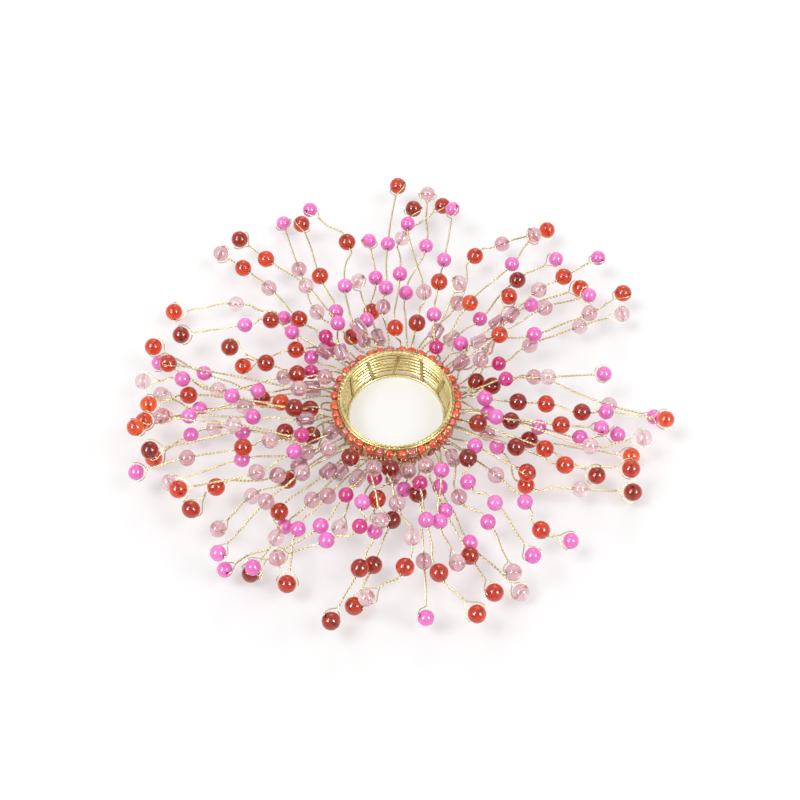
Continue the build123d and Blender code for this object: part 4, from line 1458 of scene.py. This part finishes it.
@dataclass
class Workshop:
    """What the sub-assemblies share: the materials, the recipes and the frame's bodies."""

    materials: dict[Looks, bpy.types.Material] = field(default_factory=dict)
    strands: Recipe = field(default_factory=strand_recipe)
    beads: Recipe = field(default_factory=bead_recipe)
    coil: Recipe = field(default_factory=coil_recipe)
    whipping: Recipe = field(default_factory=whipping_recipe)
    wire: Recipe = field(default_factory=wire_recipe)
    masters: list[bpy.types.Object] = field(default_factory=list)
    # Painted shade on beads near the ring: at least this deep at the band, fading to none at this share of
    # the band's reach
    shaded_share: float = 2.4
    nearest_shade: float = 0.5

    def material(self, look: Looks) -> bpy.types.Material:
        """Makes a finish's material where there is none yet.

        Args:
            look: The finish.

        Returns:
            Its material.
        """
        if look not in self.materials:
            self.materials[look] = look.value.material()
        return self.materials[look]

    def body_of(self, node: str) -> str:
        """The body that a node of the frame belongs to."""
        bodies = frame["record"]["behaviour"]["bodies"]
        return next(body for body, nodes in bodies.items() if node in nodes)

    def master(self, name: str, profile: Outline, segments: int) -> bpy.types.Object:
        """Makes a bead to copy.

        Args:
            name: Its name.
            profile: Its outline.
            segments: How many faces go round.

        Returns:
            An object of its own.
        """
        made = placed(name, lathe_mesh(name, profile, segments))
        self.masters.append(made)
        return made

    def make(
        self, recipe: Recipe, name: str, mesh: bpy.types.Mesh, look: Looks, *nodes: str, **values: Any
    ) -> None:
        """Makes a piece by a recipe and hands it over.

        Args:
            recipe: The recipe.
            name: Name of the piece.
            mesh: What the recipe starts from.
            look: The finish.
            nodes: The nodes that the piece stands for.
            values: The recipe's inputs by name, with _ for a space.
        """
        piece = recipe.run(name, mesh, self.material(look), **values)
        self.hand_over(piece, look, *nodes)

    def thread_beads(
        self, name: str, places: list[Place], look: Looks, bead: bpy.types.Object, *nodes: str, **kept: Any
    ) -> None:
        """Makes a piece of beads, each a little different and deeper in colour near the ring as painted
        shade, and hands it over.

        Args:
            name: Name of the piece.
            places: Centre of each bead, in millimetres, and the direction of its hole.
            look: The finish.
            bead: The bead to copy.
            nodes: The nodes that the piece stands for.
            kept: rng for the small differences, spread for how much a bead's size differs as a share,
                and unevenness for how far the surface strays, in millimetres.
        """
        count, rng = len(places), kept["rng"]
        mesh = bpy.data.meshes.new(f"{name}_points")
        mesh.from_pydata([tuple(centre * MM) for centre, _ in places], [], [])
        # Painted shade: the nearer a bead lies to the ring, the deeper its colour is at the least
        distance = [math.hypot(centre[0], centre[1]) for centre, _ in places]
        painted_shade_span = BAND.reach, self.shaded_share * BAND.reach
        least = np.interp(distance, painted_shade_span, (self.nearest_shade, 0.0))
        give_attributes(
            mesh,
            axis=[way for _, way in places],
            spin=rng.uniform(0.0, 2 * math.pi, count),
            grow=rng.uniform(1 - kept["spread"], 1.0, (count, 3)),
            shade=rng.uniform(0.0, 1.0 - least) + least,
        )
        self.make(self.beads, name, mesh, look, *nodes, Bead=bead, unevenness=kept["unevenness"] * MM)

    def hand_over(self, piece: bpy.types.Object, look: Looks, *nodes: str) -> None:
        """Sets a finished piece on its body, in place of the nodes that it stands for.

        Args:
            piece: The piece.
            look: Its finish. Not used.
            nodes: The nodes. A piece with none rides on the ring.
        """
        body = self.body_of(nodes[0]) if nodes else "ring"
        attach(piece, body)
        if nodes:
            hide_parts(*nodes)
        LOG.info("%s on %s: %d faces", piece.name, body, len(piece.data.polygons))

    def dress(self, node: str, look: Looks) -> None:
        """Gives a node of the frame its finish.

        Args:
            node: The node.
            look: The finish.
        """
        for slot in frame["nodes"][node].material_slots:
            slot.material = self.material(look)
        LOG.info("%s dressed", node)

    def clear(self) -> None:
        """Removes the beads that were only there to be copied."""
        for master in self.masters:
            bpy.data.objects.remove(master)


@dataclass
class Assembly:
    """What each sub-assembly works with."""

    workshop: Workshop


@dataclass
class Band(Assembly):
    """The wound gold band: two whipped hoops, the coil between them, ties and lashings."""

    coil_wire_radius: float = 0.39
    core_inset: float = 0.08
    core_rounding: float = 0.12
    core_segments: int = 96
    whip_wire_radius: float = 0.14
    whip_turns: int = 74
    whip_steps: int = 12
    tie_wire_radius: float = 0.14
    tie_rounds: int = 4
    tie_drift: float = 0.3
    tie_lean: float = 0.55
    tie_rounding: float = 0.3
    lashing_wire_radius: float = 0.09
    binding_wire_radius: float = 0.26
    binding_points: int = 120
    binding_waves: int = 7
    binding_wander: float = 0.06
    lashing_over_share: float = 0.75
    lashing_shift: float = 0.12
    lashing_room: float = 0.1

    def build(self) -> None:
        """Makes the band's pieces and hands them over."""
        self.bend_hoop("rim_hoop_bottom", 0.0)
        self.bend_hoop("rim_hoop_top", BAND.height - BAND.hoop_height)
        self.wind_coil()
        self.lash_ties()
        self.lash_seeds()
        self.bind_rim()

    def hoop_middle(self, height: float) -> tuple[float, float]:
        """Radius and height of the middle of the hoop whose underside is at a height."""
        inside = BAND.bore_line(BAND.height if height else 0.0)
        return inside + BAND.hoop_width / 2, height + BAND.hoop_height / 2

    def bend_hoop(self, node: str, height: float) -> None:
        """A hoop of flat wire with fine wire whipped round it.

        Args:
            node: The node that it stands for.
            height: Height of its underside.
        """
        radius, middle = self.hoop_middle(height)
        flat = (
            BAND.hoop_width / 2 - self.core_inset - self.core_rounding,
            BAND.hoop_height / 2 - self.core_inset - self.core_rounding,
        )
        profile = rounded_outline((radius, middle), flat, self.core_rounding)
        core = placed(f"flat_{node}", lathe_mesh(f"flat_{node}", profile, self.core_segments))
        core.data.materials.append(self.workshop.material(Looks.BAND_WIRE))
        self.workshop.hand_over(core, Looks.BAND_WIRE, node)
        binding = self.binding_wire_radius if height else 0.0
        mesh = bpy.data.meshes.new("whipping_start")
        self.workshop.make(
            self.workshop.whipping, f"whipped_{node}", mesh, Looks.TIE_WIRE,
            hoop_radius=(radius + binding) * MM,
            height=middle * MM,
            half_width=(BAND.hoop_width / 2 - self.whip_wire_radius + binding) * MM,
            half_height=(BAND.hoop_height / 2 - self.whip_wire_radius + binding / 4) * MM,
            turns=self.whip_turns,
            steps=self.whip_steps,
            wire_radius=self.whip_wire_radius * MM,
        )

    def wind_coil(self) -> None:
        """Winds the coil, of thicker wire than its solid, until it meets both hoops."""
        low = BAND.hoop_height + self.coil_wire_radius
        high = BAND.height - low
        mesh = bpy.data.meshes.new("coil_start")
        self.workshop.make(
            self.workshop.coil, "wound_band_coil", mesh, Looks.BAND_WIRE, "band_coil",
            turns=(high - low) / BAND.coil_pitch,
            lower_radius=BAND.coil_radius(low) * MM,
            upper_radius=BAND.coil_radius(high) * MM,
            rise=(high - low) * MM,
            start=low * MM,
            start_angle=(low - BAND.coil_start) / BAND.coil_pitch * 2 * math.pi,
            wire_radius=self.coil_wire_radius * MM,
        )

    def draw_wires(self, name: str, lines: list[Line], radius: float, *nodes: str) -> None:
        """Makes a piece of fine wires of some radius along lines, in place of nodes."""
        mesh = line_mesh(f"{name}_lines", lines)
        self.workshop.make(self.workshop.wire, name, mesh, Looks.TIE_WIRE, *nodes, wire_radius=radius * MM)

    def lash_ties(self) -> None:
        """The ties, each a few close rounds of fine wire through the band."""
        top = BAND.height - BAND.hoop_height - BAND.tie_clearance - BAND.strand_radius
        bottom = BAND.hoop_height + BAND.tie_clearance + BAND.strand_radius
        lines = []
        for number in range(BAND.bays):
            angle = number * 2 * math.pi / BAND.bays
            lean = self.tie_lean * (-1) ** number
            corners = []
            for lap in range(self.tie_rounds):
                for quarter, height in enumerate((bottom, bottom, top, top)):
                    inner = BAND.bore_line(height) + BAND.tie_clearance + self.tie_wire_radius
                    outer = BAND.row_radius(height) + 2 * BAND.strand_radius + BAND.tie_clearance
                    radius = outer if quarter in (1, 2) else inner
                    drift = (lap + quarter / 4 - self.tie_rounds / 2) * self.tie_drift
                    drift += lean if height == top else -lean
                    corners.append(around(radius, angle + drift / radius, height))
            lines.append(Line(rounded_line(corners, [self.tie_rounding] * len(corners))))
        self.draw_wires("lashed_band_ties", lines, self.tie_wire_radius, "band_ties")

    def lash_seeds(self) -> None:
        """Lays fine wires over the rows of seed beads, from the top hoop to the bottom one."""
        upper, lower = BAND.upper_row_height, BAND.lower_row_height
        top_radius, top = self.hoop_middle(BAND.height - BAND.hoop_height)
        bottom_radius, bottom = self.hoop_middle(0.0)
        edge = top_radius + BAND.hoop_width / 2 + self.lashing_wire_radius
        over = BAND.seed_radius * self.lashing_over_share
        lines = []
        for number in range(BAND.bays * BAND.seeds_per_bay):
            if number % BAND.seeds_per_bay == 0:
                continue
            angle = seed_angle(number - 0.5)
            shift = (-1) ** number * self.lashing_shift / top_radius
            lines.append(Line(flowing_line([
                around(top_radius, angle, top),
                around(edge, angle, top + self.lashing_room),
                around(BAND.row_radius(upper), angle + shift, upper + over),
                around(BAND.row_radius(upper) + over, angle + shift, upper),
                around(BAND.row_radius(upper) + self.lashing_room, angle, (upper + lower) / 2),
                around(BAND.row_radius(lower) + over, angle - shift, lower),
                around(BAND.row_radius(lower), angle - shift, lower - over),
                around(bottom_radius + BAND.hoop_width / 2, angle, bottom),
                around(bottom_radius, angle, bottom),
            ])))
        self.draw_wires("seed_bead_lashings", lines, self.lashing_wire_radius)

    def bind_rim(self) -> None:
        """Lays a wire that wanders a little round the outside of the top hoop, above the seed beads."""
        radius, middle = self.hoop_middle(BAND.height - BAND.hoop_height)
        radius += BAND.hoop_width / 2 + self.binding_wire_radius
        corners = []
        for angle in np.linspace(0.0, 2 * math.pi, self.binding_points, endpoint=False):
            wander = self.binding_wander * math.sin(self.binding_waves * angle)
            corners.append(around(radius + wander, angle, middle + wander))
        lines = [Line(np.array(corners), closed=True)]
        self.draw_wires("rim_binding_wire", lines, self.binding_wire_radius)


def seed_angle(number: float) -> float:
    """Finds a seed bead in its row, which leaves room for the ties.

    Args:
        number: The bead's number.

    Returns:
        Its angle, in radians.
    """
    radius = BAND.row_radius(BAND.upper_row_height)
    bay = 2 * math.pi / BAND.bays
    room = 2 * BAND.strand_radius / radius
    share = (number % BAND.seeds_per_bay + 0.5) / BAND.seeds_per_bay
    return number // BAND.seeds_per_bay * bay + room + (bay - 2 * room) * share


@dataclass
class SeedRows(Assembly):
    """Two rows of seed beads round the band, on their hoops of thin wire."""

    length: float = 2.25
    swell: float = 0.1
    rounding: float = 0.7
    corner_steps: int = 4
    segments: int = 14
    unevenness: float = 0.12
    spread: float = 0.14
    tilt: float = 0.24
    lining_radius: float = 0.62
    seed: int = 11

    def build(self) -> None:
        """Makes the seed beads, one piece for each colour, and hands them over."""
        for node in ("seed_wire_lower", "seed_wire_upper"):
            self.workshop.dress(node, Looks.STEM_WIRE)
        bead = self.workshop.master("seed_bead", self.profile(), self.segments)
        lining = self.workshop.master("seed_lining", self.lining(), self.segments)
        rng = np.random.default_rng(self.seed)
        rows = ((BAND.lower_row_height, 0), (BAND.upper_row_height, BAND.upper_row_colour_shift))
        for letter, node, look in (
            ("C", "coral_seed_beads", Looks.CORAL_SEED),
            ("L", "pink_lined_seed_beads", Looks.LINED_SEED),
        ):
            places = [place for height, shift in rows for place in self.places(height, shift, letter)]
            places = [(centre, way + rng.normal(0.0, self.tilt, 3)) for centre, way in places]
            kept = {"rng": rng, "spread": self.spread, "unevenness": self.unevenness}
            self.workshop.thread_beads(f"threaded_{node}", places, look, bead, node, **kept)
        kept["unevenness"] = 0.0
        self.workshop.thread_beads("seed_bead_linings", places, Looks.CORAL_SEED, lining, **kept)

    def lining(self) -> Outline:
        """Outline of the coloured lining of a clear seed bead: a thin tube."""
        half, inner, outer = self.length / 2 - self.rounding / 2, BAND.seed_hole_radius, self.lining_radius
        return [(inner, -half), (outer, -half), (outer, half), (inner, half)]

    def profile(self) -> Outline:
        """Outline of a seed bead.

        Returns:
            The outline of a short tube with rounded ends.
        """
        flat = self.length / 2 - self.rounding
        inner = BAND.seed_radius + self.swell - self.rounding
        corner = round_corner(inner, flat, self.rounding, self.corner_steps)
        upper = [(BAND.seed_hole_radius, self.length / 2), *corner]
        return [(radius, -height) for radius, height in upper] + upper[::-1]

    def places(self, height: float, shift: int, letter: str) -> list[Place]:
        """Centres and directions of the seed beads of one colour in a row.

        Args:
            height: The row's height.
            shift: Where the row starts in the run of colours.
            letter: The colour's letter.

        Returns:
            The centre of each bead and the direction of its hole.
        """
        found = []
        for number in range(BAND.bays * BAND.seeds_per_bay):
            if BAND.seed_colours[(number + shift) % len(BAND.seed_colours)] == letter:
                angle = seed_angle(number)
                centre = around(BAND.row_radius(height), angle, height)
                found.append((centre, around(1.0, angle + math.pi / 2, 0.0)))
        return found


@dataclass
class Beads(Assembly):
    """The glass beads of the burst, on their wires."""

    hole_radius: float = 0.36
    hole_rounding: float = 0.14
    tube_rounding: float = 0.7
    segments: int = 16
    arc_steps: int = 8
    unevenness: float = 0.06
    spread: float = 0.045
    seed: int = 7
    masters: dict[BeadKind, bpy.types.Object] = field(default_factory=dict)

    def build(self, layout: BurstLayout) -> None:
        """Makes one piece for each node of beads and hands them over.

        Args:
            layout: Where the burst lies.
        """
        ways = layout.directions()
        for place in np.flatnonzero(layout.tip):
            ways[place] = layout.fork_directions(int(place))[1]
        groups: dict[str, list[int]] = {}
        for place in np.flatnonzero(layout.bead):
            groups.setdefault(self.node_of(layout, int(place)), []).append(int(place))
        rng = np.random.default_rng(self.seed)
        for node, members in groups.items():
            places = [(layout.centre[place], ways[place]) for place in members]
            self.thread(f"glass_{node}", layout.kind[members[0]], places, rng, node)

    def thread(
        self, name: str, kind: BeadKind, places: list[Place], rng: np.random.Generator, *nodes: str
    ) -> None:
        """Makes a piece of beads of one kind and hands it over.

        Args:
            name: Name of the piece.
            kind: The kind of bead.
            places: Centre of each bead and the direction of its hole.
            rng: Where the small differences come from.
            nodes: The nodes that the piece stands for.
        """
        if kind not in self.masters:
            self.masters[kind] = self.workshop.master(f"{kind.word}_bead", self.profile(kind), self.segments)
        kept = {"rng": rng, "spread": self.spread, "unevenness": self.unevenness}
        self.workshop.thread_beads(name, places, Looks[kind.name], self.masters[kind], *nodes, **kept)

    def node_of(self, layout: BurstLayout, place: int) -> str:
        """Finds the frame's node that a bead is in.

        Args:
            layout: Where the burst lies.
            place: The bead's number.

        Returns:
            The node's name.
        """
        if place in layout.tip_names:
            return layout.tip_names[place]
        kind = layout.kind[place]
        if kind in (BeadKind.ORANGE, BeadKind.MAGENTA, BeadKind.MAUVE_TUBE):
            return f"{kind.word}_beads"
        end = layout.centre[layout.tip & (layout.stem == layout.stem[place])][0]
        return f"{sector_name(end)}_{kind.word}_beads"

    def profile(self, kind: BeadKind) -> Outline:
        """Outline of a bead.

        Args:
            kind: The kind of bead.

        Returns:
            The outline, from the lower end of the hole round the outside to the upper one.
        """
        radius, half, hole = kind.diameter / 2, kind.length / 2, self.hole_radius
        if kind is BeadKind.MAUVE_TUBE:
            flat, inner = half - self.tube_rounding, radius - self.tube_rounding
            corner = round_corner(inner, flat, self.tube_rounding, self.arc_steps // 2)
        else:
            start = math.asin((hole + self.hole_rounding) / radius)
            turns = np.linspace(start, math.pi / 2, self.arc_steps // 2 + 1)[:-1]
            corner = [(radius * math.sin(t), radius * math.cos(t)) for t in turns]
        upper = [(hole, corner[0][1] - self.hole_rounding), *corner]
        lower = [(width, -height) for width, height in upper]
        middle = [] if kind is BeadKind.MAUVE_TUBE else [(radius, 0.0)]
        return lower + middle + upper[::-1]


@dataclass
class TuckedBeads:
    """Beads half hidden near the ring, each on the stem that passes nearest to its place."""

    layout: BurstLayout
    step: float = 0.2
    end_room: float = 0.15
    overlap: float = 0.08
    furthest: float = 7.0
    seed: int = 19

    def __post_init__(self) -> None:
        """Notes what the first bead has to keep clear of."""
        self.start, self.end = self.layout.capsule_ends()
        self.size = self.layout.size

    def build(self, beads: Beads) -> None:
        """Makes one piece for each kind and hands them over.

        Args:
            beads: The other beads, which these are like.
        """
        found: dict[BeadKind, list[Place]] = {}
        for word in TUCKED_PIXELS.split():
            ((kind, pixel),) = self.layout.read_stem(word)
            place = self.place_near(kind, pixel)
            if place is None:
                LOG.info("no room for the tucked bead at %s", word)
                continue
            found.setdefault(kind, []).append(place)
            self.start = np.vstack([self.start, place[0]])
            self.end = np.vstack([self.end, place[0]])
            self.size = np.append(self.size, kind.diameter / 2)
        rng = np.random.default_rng(self.seed)
        for kind, places in found.items():
            beads.thread(f"tucked_{kind.word}_beads", kind, places, rng)

    def place_near(self, kind: BeadKind, pixel: Pixel) -> Place | None:
        """Finds room for a bead on a wire outside the band.

        Args:
            kind: The kind of bead.
            pixel: Where it shows.

        Returns:
            Its centre and the direction of its hole, or nothing where no wire has room.
        """
        direction, spare = sight(pixel), kind.length / 2 + self.end_room
        runs = self.layout.parts[3]
        least, best = self.furthest, None
        for number, node in enumerate(runs, start=len(self.layout.size) - len(runs)):
            if self.layout.kind[node] is Stop.START:
                continue
            start, end = self.start[number], self.end[number]
            length, way = float(np.linalg.norm(end - start)), unit(end - start)
            for along in np.arange(spare, length - spare, self.step):
                point = start + way * along
                miss = float(np.linalg.norm(np.cross(point - EYE, direction)))
                if miss < least and self.is_free(point, kind.diameter / 2, self.layout.stem[node]):
                    least, best = miss, (point, way)
        return best

    def is_free(self, point: Point, radius: float, stem: int) -> bool:
        """Tells whether a ball clears the ring, the table, and all but its own stem's wire.

        Args:
            point: The ball's centre.
            radius: The ball's radius.
            stem: Its own stem's number.

        Returns:
            True where it is clear.
        """
        if math.hypot(point[0], point[1]) < BAND.reach + radius - self.overlap or point[2] < radius:
            return False
        axis = self.end - self.start
        share = np.sum((point - self.start) * axis, axis=1) / (np.sum(axis * axis, axis=1) + TINY)
        nearest = self.start + axis * np.clip(share, 0.0, 1.0)[:, None]
        room = np.linalg.norm(nearest - point, axis=1) - self.size - radius
        own = self.layout.wire & (self.layout.stem[self.layout.first_node] == stem)
        room[: len(own)][own] = math.inf
        return bool(room.min() > -self.overlap)


@dataclass
class Stems(Assembly):
    """The stems: two strands twisted together, hooked round the coil and forked at the end."""

    strand_radius: float = 0.14
    step: float = 0.24
    sides: int = 6
    lay: float = 1.9
    leg_offset: float = 0.145
    leg_overlap: float = 0.25
    leg_straight: float = 0.2
    eye_half_width: float = 0.56
    shoulder_room: float = 0.1
    side_room: float = 0.34
    fork_shortest_share: float = 1.32
    fork_longest_share: float = 1.85
    neck_back_share: float = 1.08
    neck_side_share: float = 0.6
    shoulder_back_share: float = 0.65
    side_back_share: float = 0.17
    hole_side_share: float = 0.4

    def build(self, layout: BurstLayout) -> None:
        """Makes one piece for each sixth of the burst and hands them over.

        Args:
            layout: Where the burst lies.
        """
        groups: dict[str, list[Line]] = {}
        for number in range(len(layout.roots)):
            place = int(np.flatnonzero(layout.stem == number)[-1])
            lines = self.stem_lines(layout, number, place)
            groups.setdefault(sector_name(layout.centre[place]), []).extend(lines)
        for sector, lines in groups.items():
            mesh = line_mesh(f"{sector}_stem_lines", lines)
            self.workshop.make(
                self.workshop.strands, f"twisted_{sector}_stems", mesh, Looks.STEM_WIRE, f"{sector}_stems",
                strand_radius=self.strand_radius * MM, step=self.step * MM, sides=self.sides,
            )

    def stem_lines(self, layout: BurstLayout, number: int, place: int) -> list[Line]:
        """A stem's wound pair, its fork and its eye.

        Args:
            layout: Where the burst lies.
            number: The stem's number.
            place: Its end bead's number.

        Returns:
            The three lines.
        """
        points = rounded_line(*layout.stem_corners(number))
        way, side = layout.fork_directions(place)
        reach = layout.kind[place].diameter / 2
        spare = self.fork_longest_share - self.fork_shortest_share
        fork_share = self.fork_shortest_share + spare * (number * layout.tier_share % 1.0)
        root = layout.centre[place] - way * reach * fork_share
        points = np.vstack([points, root])
        across = carried_across(points, side - way * float(side @ way))
        angle, height = layout.roots[number]
        upright = np.array([0.0, 0.0, 1.0])
        outward = around(1.0, angle, 0.0)
        beside = np.cross(outward, across[0])
        start_turn = math.atan2(float(upright @ beside), float(upright @ across[0]))
        run = np.concatenate([[0.0], np.cumsum(np.linalg.norm(np.diff(points, axis=0), axis=1))])
        whole = 2 * math.pi * round(run[-1] / self.lay)
        turned = start_turn + (whole - start_turn) * run / run[-1]
        pair = Line(points, across=across, turned=turned)
        far_side = reach + self.side_room
        fork = self.opened(root, way, side, [
            ((fork_share - self.neck_back_share) * reach, self.neck_side_share * reach),
            ((fork_share - self.shoulder_back_share) * reach, reach + self.shoulder_room),
            ((fork_share - self.side_back_share) * reach, far_side),
            (fork_share * reach + self.shoulder_room, far_side),
            (fork_share * reach, self.hole_side_share * reach),
        ])
        eye_root = around(BAND.coil_radius(height) + layout.eye_reach, angle, height)
        eye = self.opened(eye_root, -outward, upright, [
            (layout.eye_reach - BAND.coil_wire_radius, self.eye_half_width),
            (layout.eye_reach + self.eye_half_width, self.eye_half_width),
        ])
        return [pair, fork, eye]

    def opened(self, root: Point, way: Point, side: Point, corners: list[tuple[float, float]]) -> Line:
        """The loop that a stem's two strands open into.

        Args:
            root: Where they part.
            way: The way that the stem points there.
            side: The direction in which they part.
            corners: What the loop leans on, along the way and to the side.

        Returns:
            The line, with one half the mirror of the other.
        """
        shares = [(-self.leg_overlap, self.leg_offset), (self.leg_straight, self.leg_offset), *corners]
        near = [root + way * along + side * out for along, out in shares]
        far = [root + way * along - side * out for along, out in reversed(shares)]
        return Line(flowing_line(near + far), loop=True)


@dataclass
class Studio:
    """The pale floor, the soft lights, the white background and the camera."""

    floor_size: float = 4.0
    floor_drop: float = 0.00002
    floor_colour: Colour = (0.975, 0.98, 0.977)
    floor_glow: float = 0.35
    sky_on_floor: float = 0.6
    sky_in_metal: float = 0.75
    sun_width_degrees: float = 26.0
    gleam_power: float = 2.2
    gleam_size: float = 0.2
    gleam_turn_degrees: float = 38.0
    gleam_distance: float = 0.6
    suns: tuple[tuple[str, float, tuple[float, ...]], ...] = (
        ("key_light", 1.0, (-0.48, -0.08, 0.87)),
        ("fill_light", 0.6, (0.54, -0.19, 0.82)),
        ("back_light", 0.35, (0.08, 0.84, 0.54)),
    )
    nearest_seen: float = 0.01

    def build(self) -> None:
        """Makes the whole studio."""
        scene = bpy.context.scene
        scene.view_settings.view_transform = "Standard"
        scene.camera = self.make_camera()
        self.make_floor()
        scene.world = self.make_world()
        for name, strength, place in self.suns:
            lamp = bpy.data.lights.new(name, "SUN")
            lamp.angle = math.radians(self.sun_width_degrees)
            lamp.energy = strength
            self.hang(name, lamp, Vector(place))
        self.make_gleam("left_gleam", -1)
        self.make_gleam("right_gleam", 1)

    def make_camera(self) -> bpy.types.Object:
        """Makes the camera.

        Returns:
            The camera, at the photograph's viewing angle.
        """
        camera = bpy.data.cameras.new("camera")
        camera.sensor_width = SENSOR_WIDTH
        camera.lens = SENSOR_WIDTH * FOCAL_PIXELS / PICTURE_PIXELS
        camera.clip_start = self.nearest_seen
        holder = placed("camera", camera)
        holder.location = EYE * MM
        holder.rotation_euler = (math.radians(90.0 - VIEW_ELEVATION_DEGREES), 0.0, 0.0)
        return holder

    def make_floor(self) -> None:
        """Makes the plain pale floor."""
        half = self.floor_size / 2
        mesh = bpy.data.meshes.new("floor")
        corners = [(-half, -half), (half, -half), (half, half), (-half, half)]
        mesh.from_pydata([(x, y, -self.floor_drop) for x, y in corners], [], [(0, 1, 2, 3)])
        mesh.materials.append(self.floor_material())
        floor = placed("floor", mesh)

    def floor_material(self) -> bpy.types.Material:
        """Makes the floor's finish.

        Returns:
            A matt white, seen in part as lit from within, so that the shadows on it are faint.
        """
        material = bpy.data.materials.new("floor")
        material.use_nodes = True
        material.node_tree.nodes.clear()
        graph = Graph(material.node_tree)
        values = {"Color": solid_colour(*self.floor_colour)}
        matt = graph.add("ShaderNodeBsdfDiffuse", values)["BSDF"]
        glow = graph.add("ShaderNodeEmission", {"Color": WHITE})["Emission"]
        values = {0: graph.seen() * self.floor_glow, 1: matt, 2: glow}
        mixed = graph.add("ShaderNodeMixShader", values)["Shader"]
        graph.add("ShaderNodeOutputMaterial", {"Surface": mixed})
        return material

    def make_world(self) -> bpy.types.World:
        """Makes the sky.

        Returns:
            A soft even sky that the camera, metal and glass see as white.
        """
        world = bpy.data.worlds.new("studio")
        world.use_nodes = True
        world.node_tree.nodes.clear()
        graph = Graph(world.node_tree)
        strength = graph.seen(self.sky_in_metal).at_least(self.sky_on_floor)
        sky = graph.add("ShaderNodeBackground", {"Color": WHITE, "Strength": strength})
        graph.add("ShaderNodeOutputWorld", {"Surface": sky["Background"]})
        return world

    def hang(self, name: str, lamp: bpy.types.Light, place: Vector) -> bpy.types.Object:
        """Hangs a light so that it faces the ring.

        Args:
            name: The light's name.
            lamp: The light.
            place: Where it hangs.

        Returns:
            The object that holds it.
        """
        holder = placed(name, lamp)
        holder.location = place
        holder.rotation_mode = "QUATERNION"
        holder.rotation_quaternion = (-place).to_track_quat("-Z", "Y")
        return holder

    def make_gleam(self, name: str, side: int) -> None:
        """Hangs a softbox that only shows as a gleam on glass and metal.

        Args:
            name: The light's name.
            side: 1 for right of the camera, -1 for left.
        """
        lamp = bpy.data.lights.new(name, "AREA")
        lamp.shape = "SQUARE"
        lamp.size = self.gleam_size
        lamp.energy = self.gleam_power
        turn = math.radians(self.gleam_turn_degrees)
        way = RIGHTWARD * side * math.sin(turn) - FORWARD * math.cos(turn)
        holder = self.hang(name, lamp, Vector(way * self.gleam_distance))
        holder.visible_diffuse = False
        holder.visible_transmission = False


def main() -> None:
    """Builds the studio and the candle ring's pieces in order, and notes their sizes."""
    logging.basicConfig(level=logging.INFO, format="%(name)s: %(message)s")
    Studio().build()
    layout = BurstLayout()
    workshop = Workshop()
    Band(workshop).build()
    SeedRows(workshop).build()
    Stems(workshop).build(layout)
    beads = Beads(workshop)
    beads.build(layout)
    TuckedBeads(layout).build(beads)
    workshop.clear()


if __name__ == "__main__":
    main()
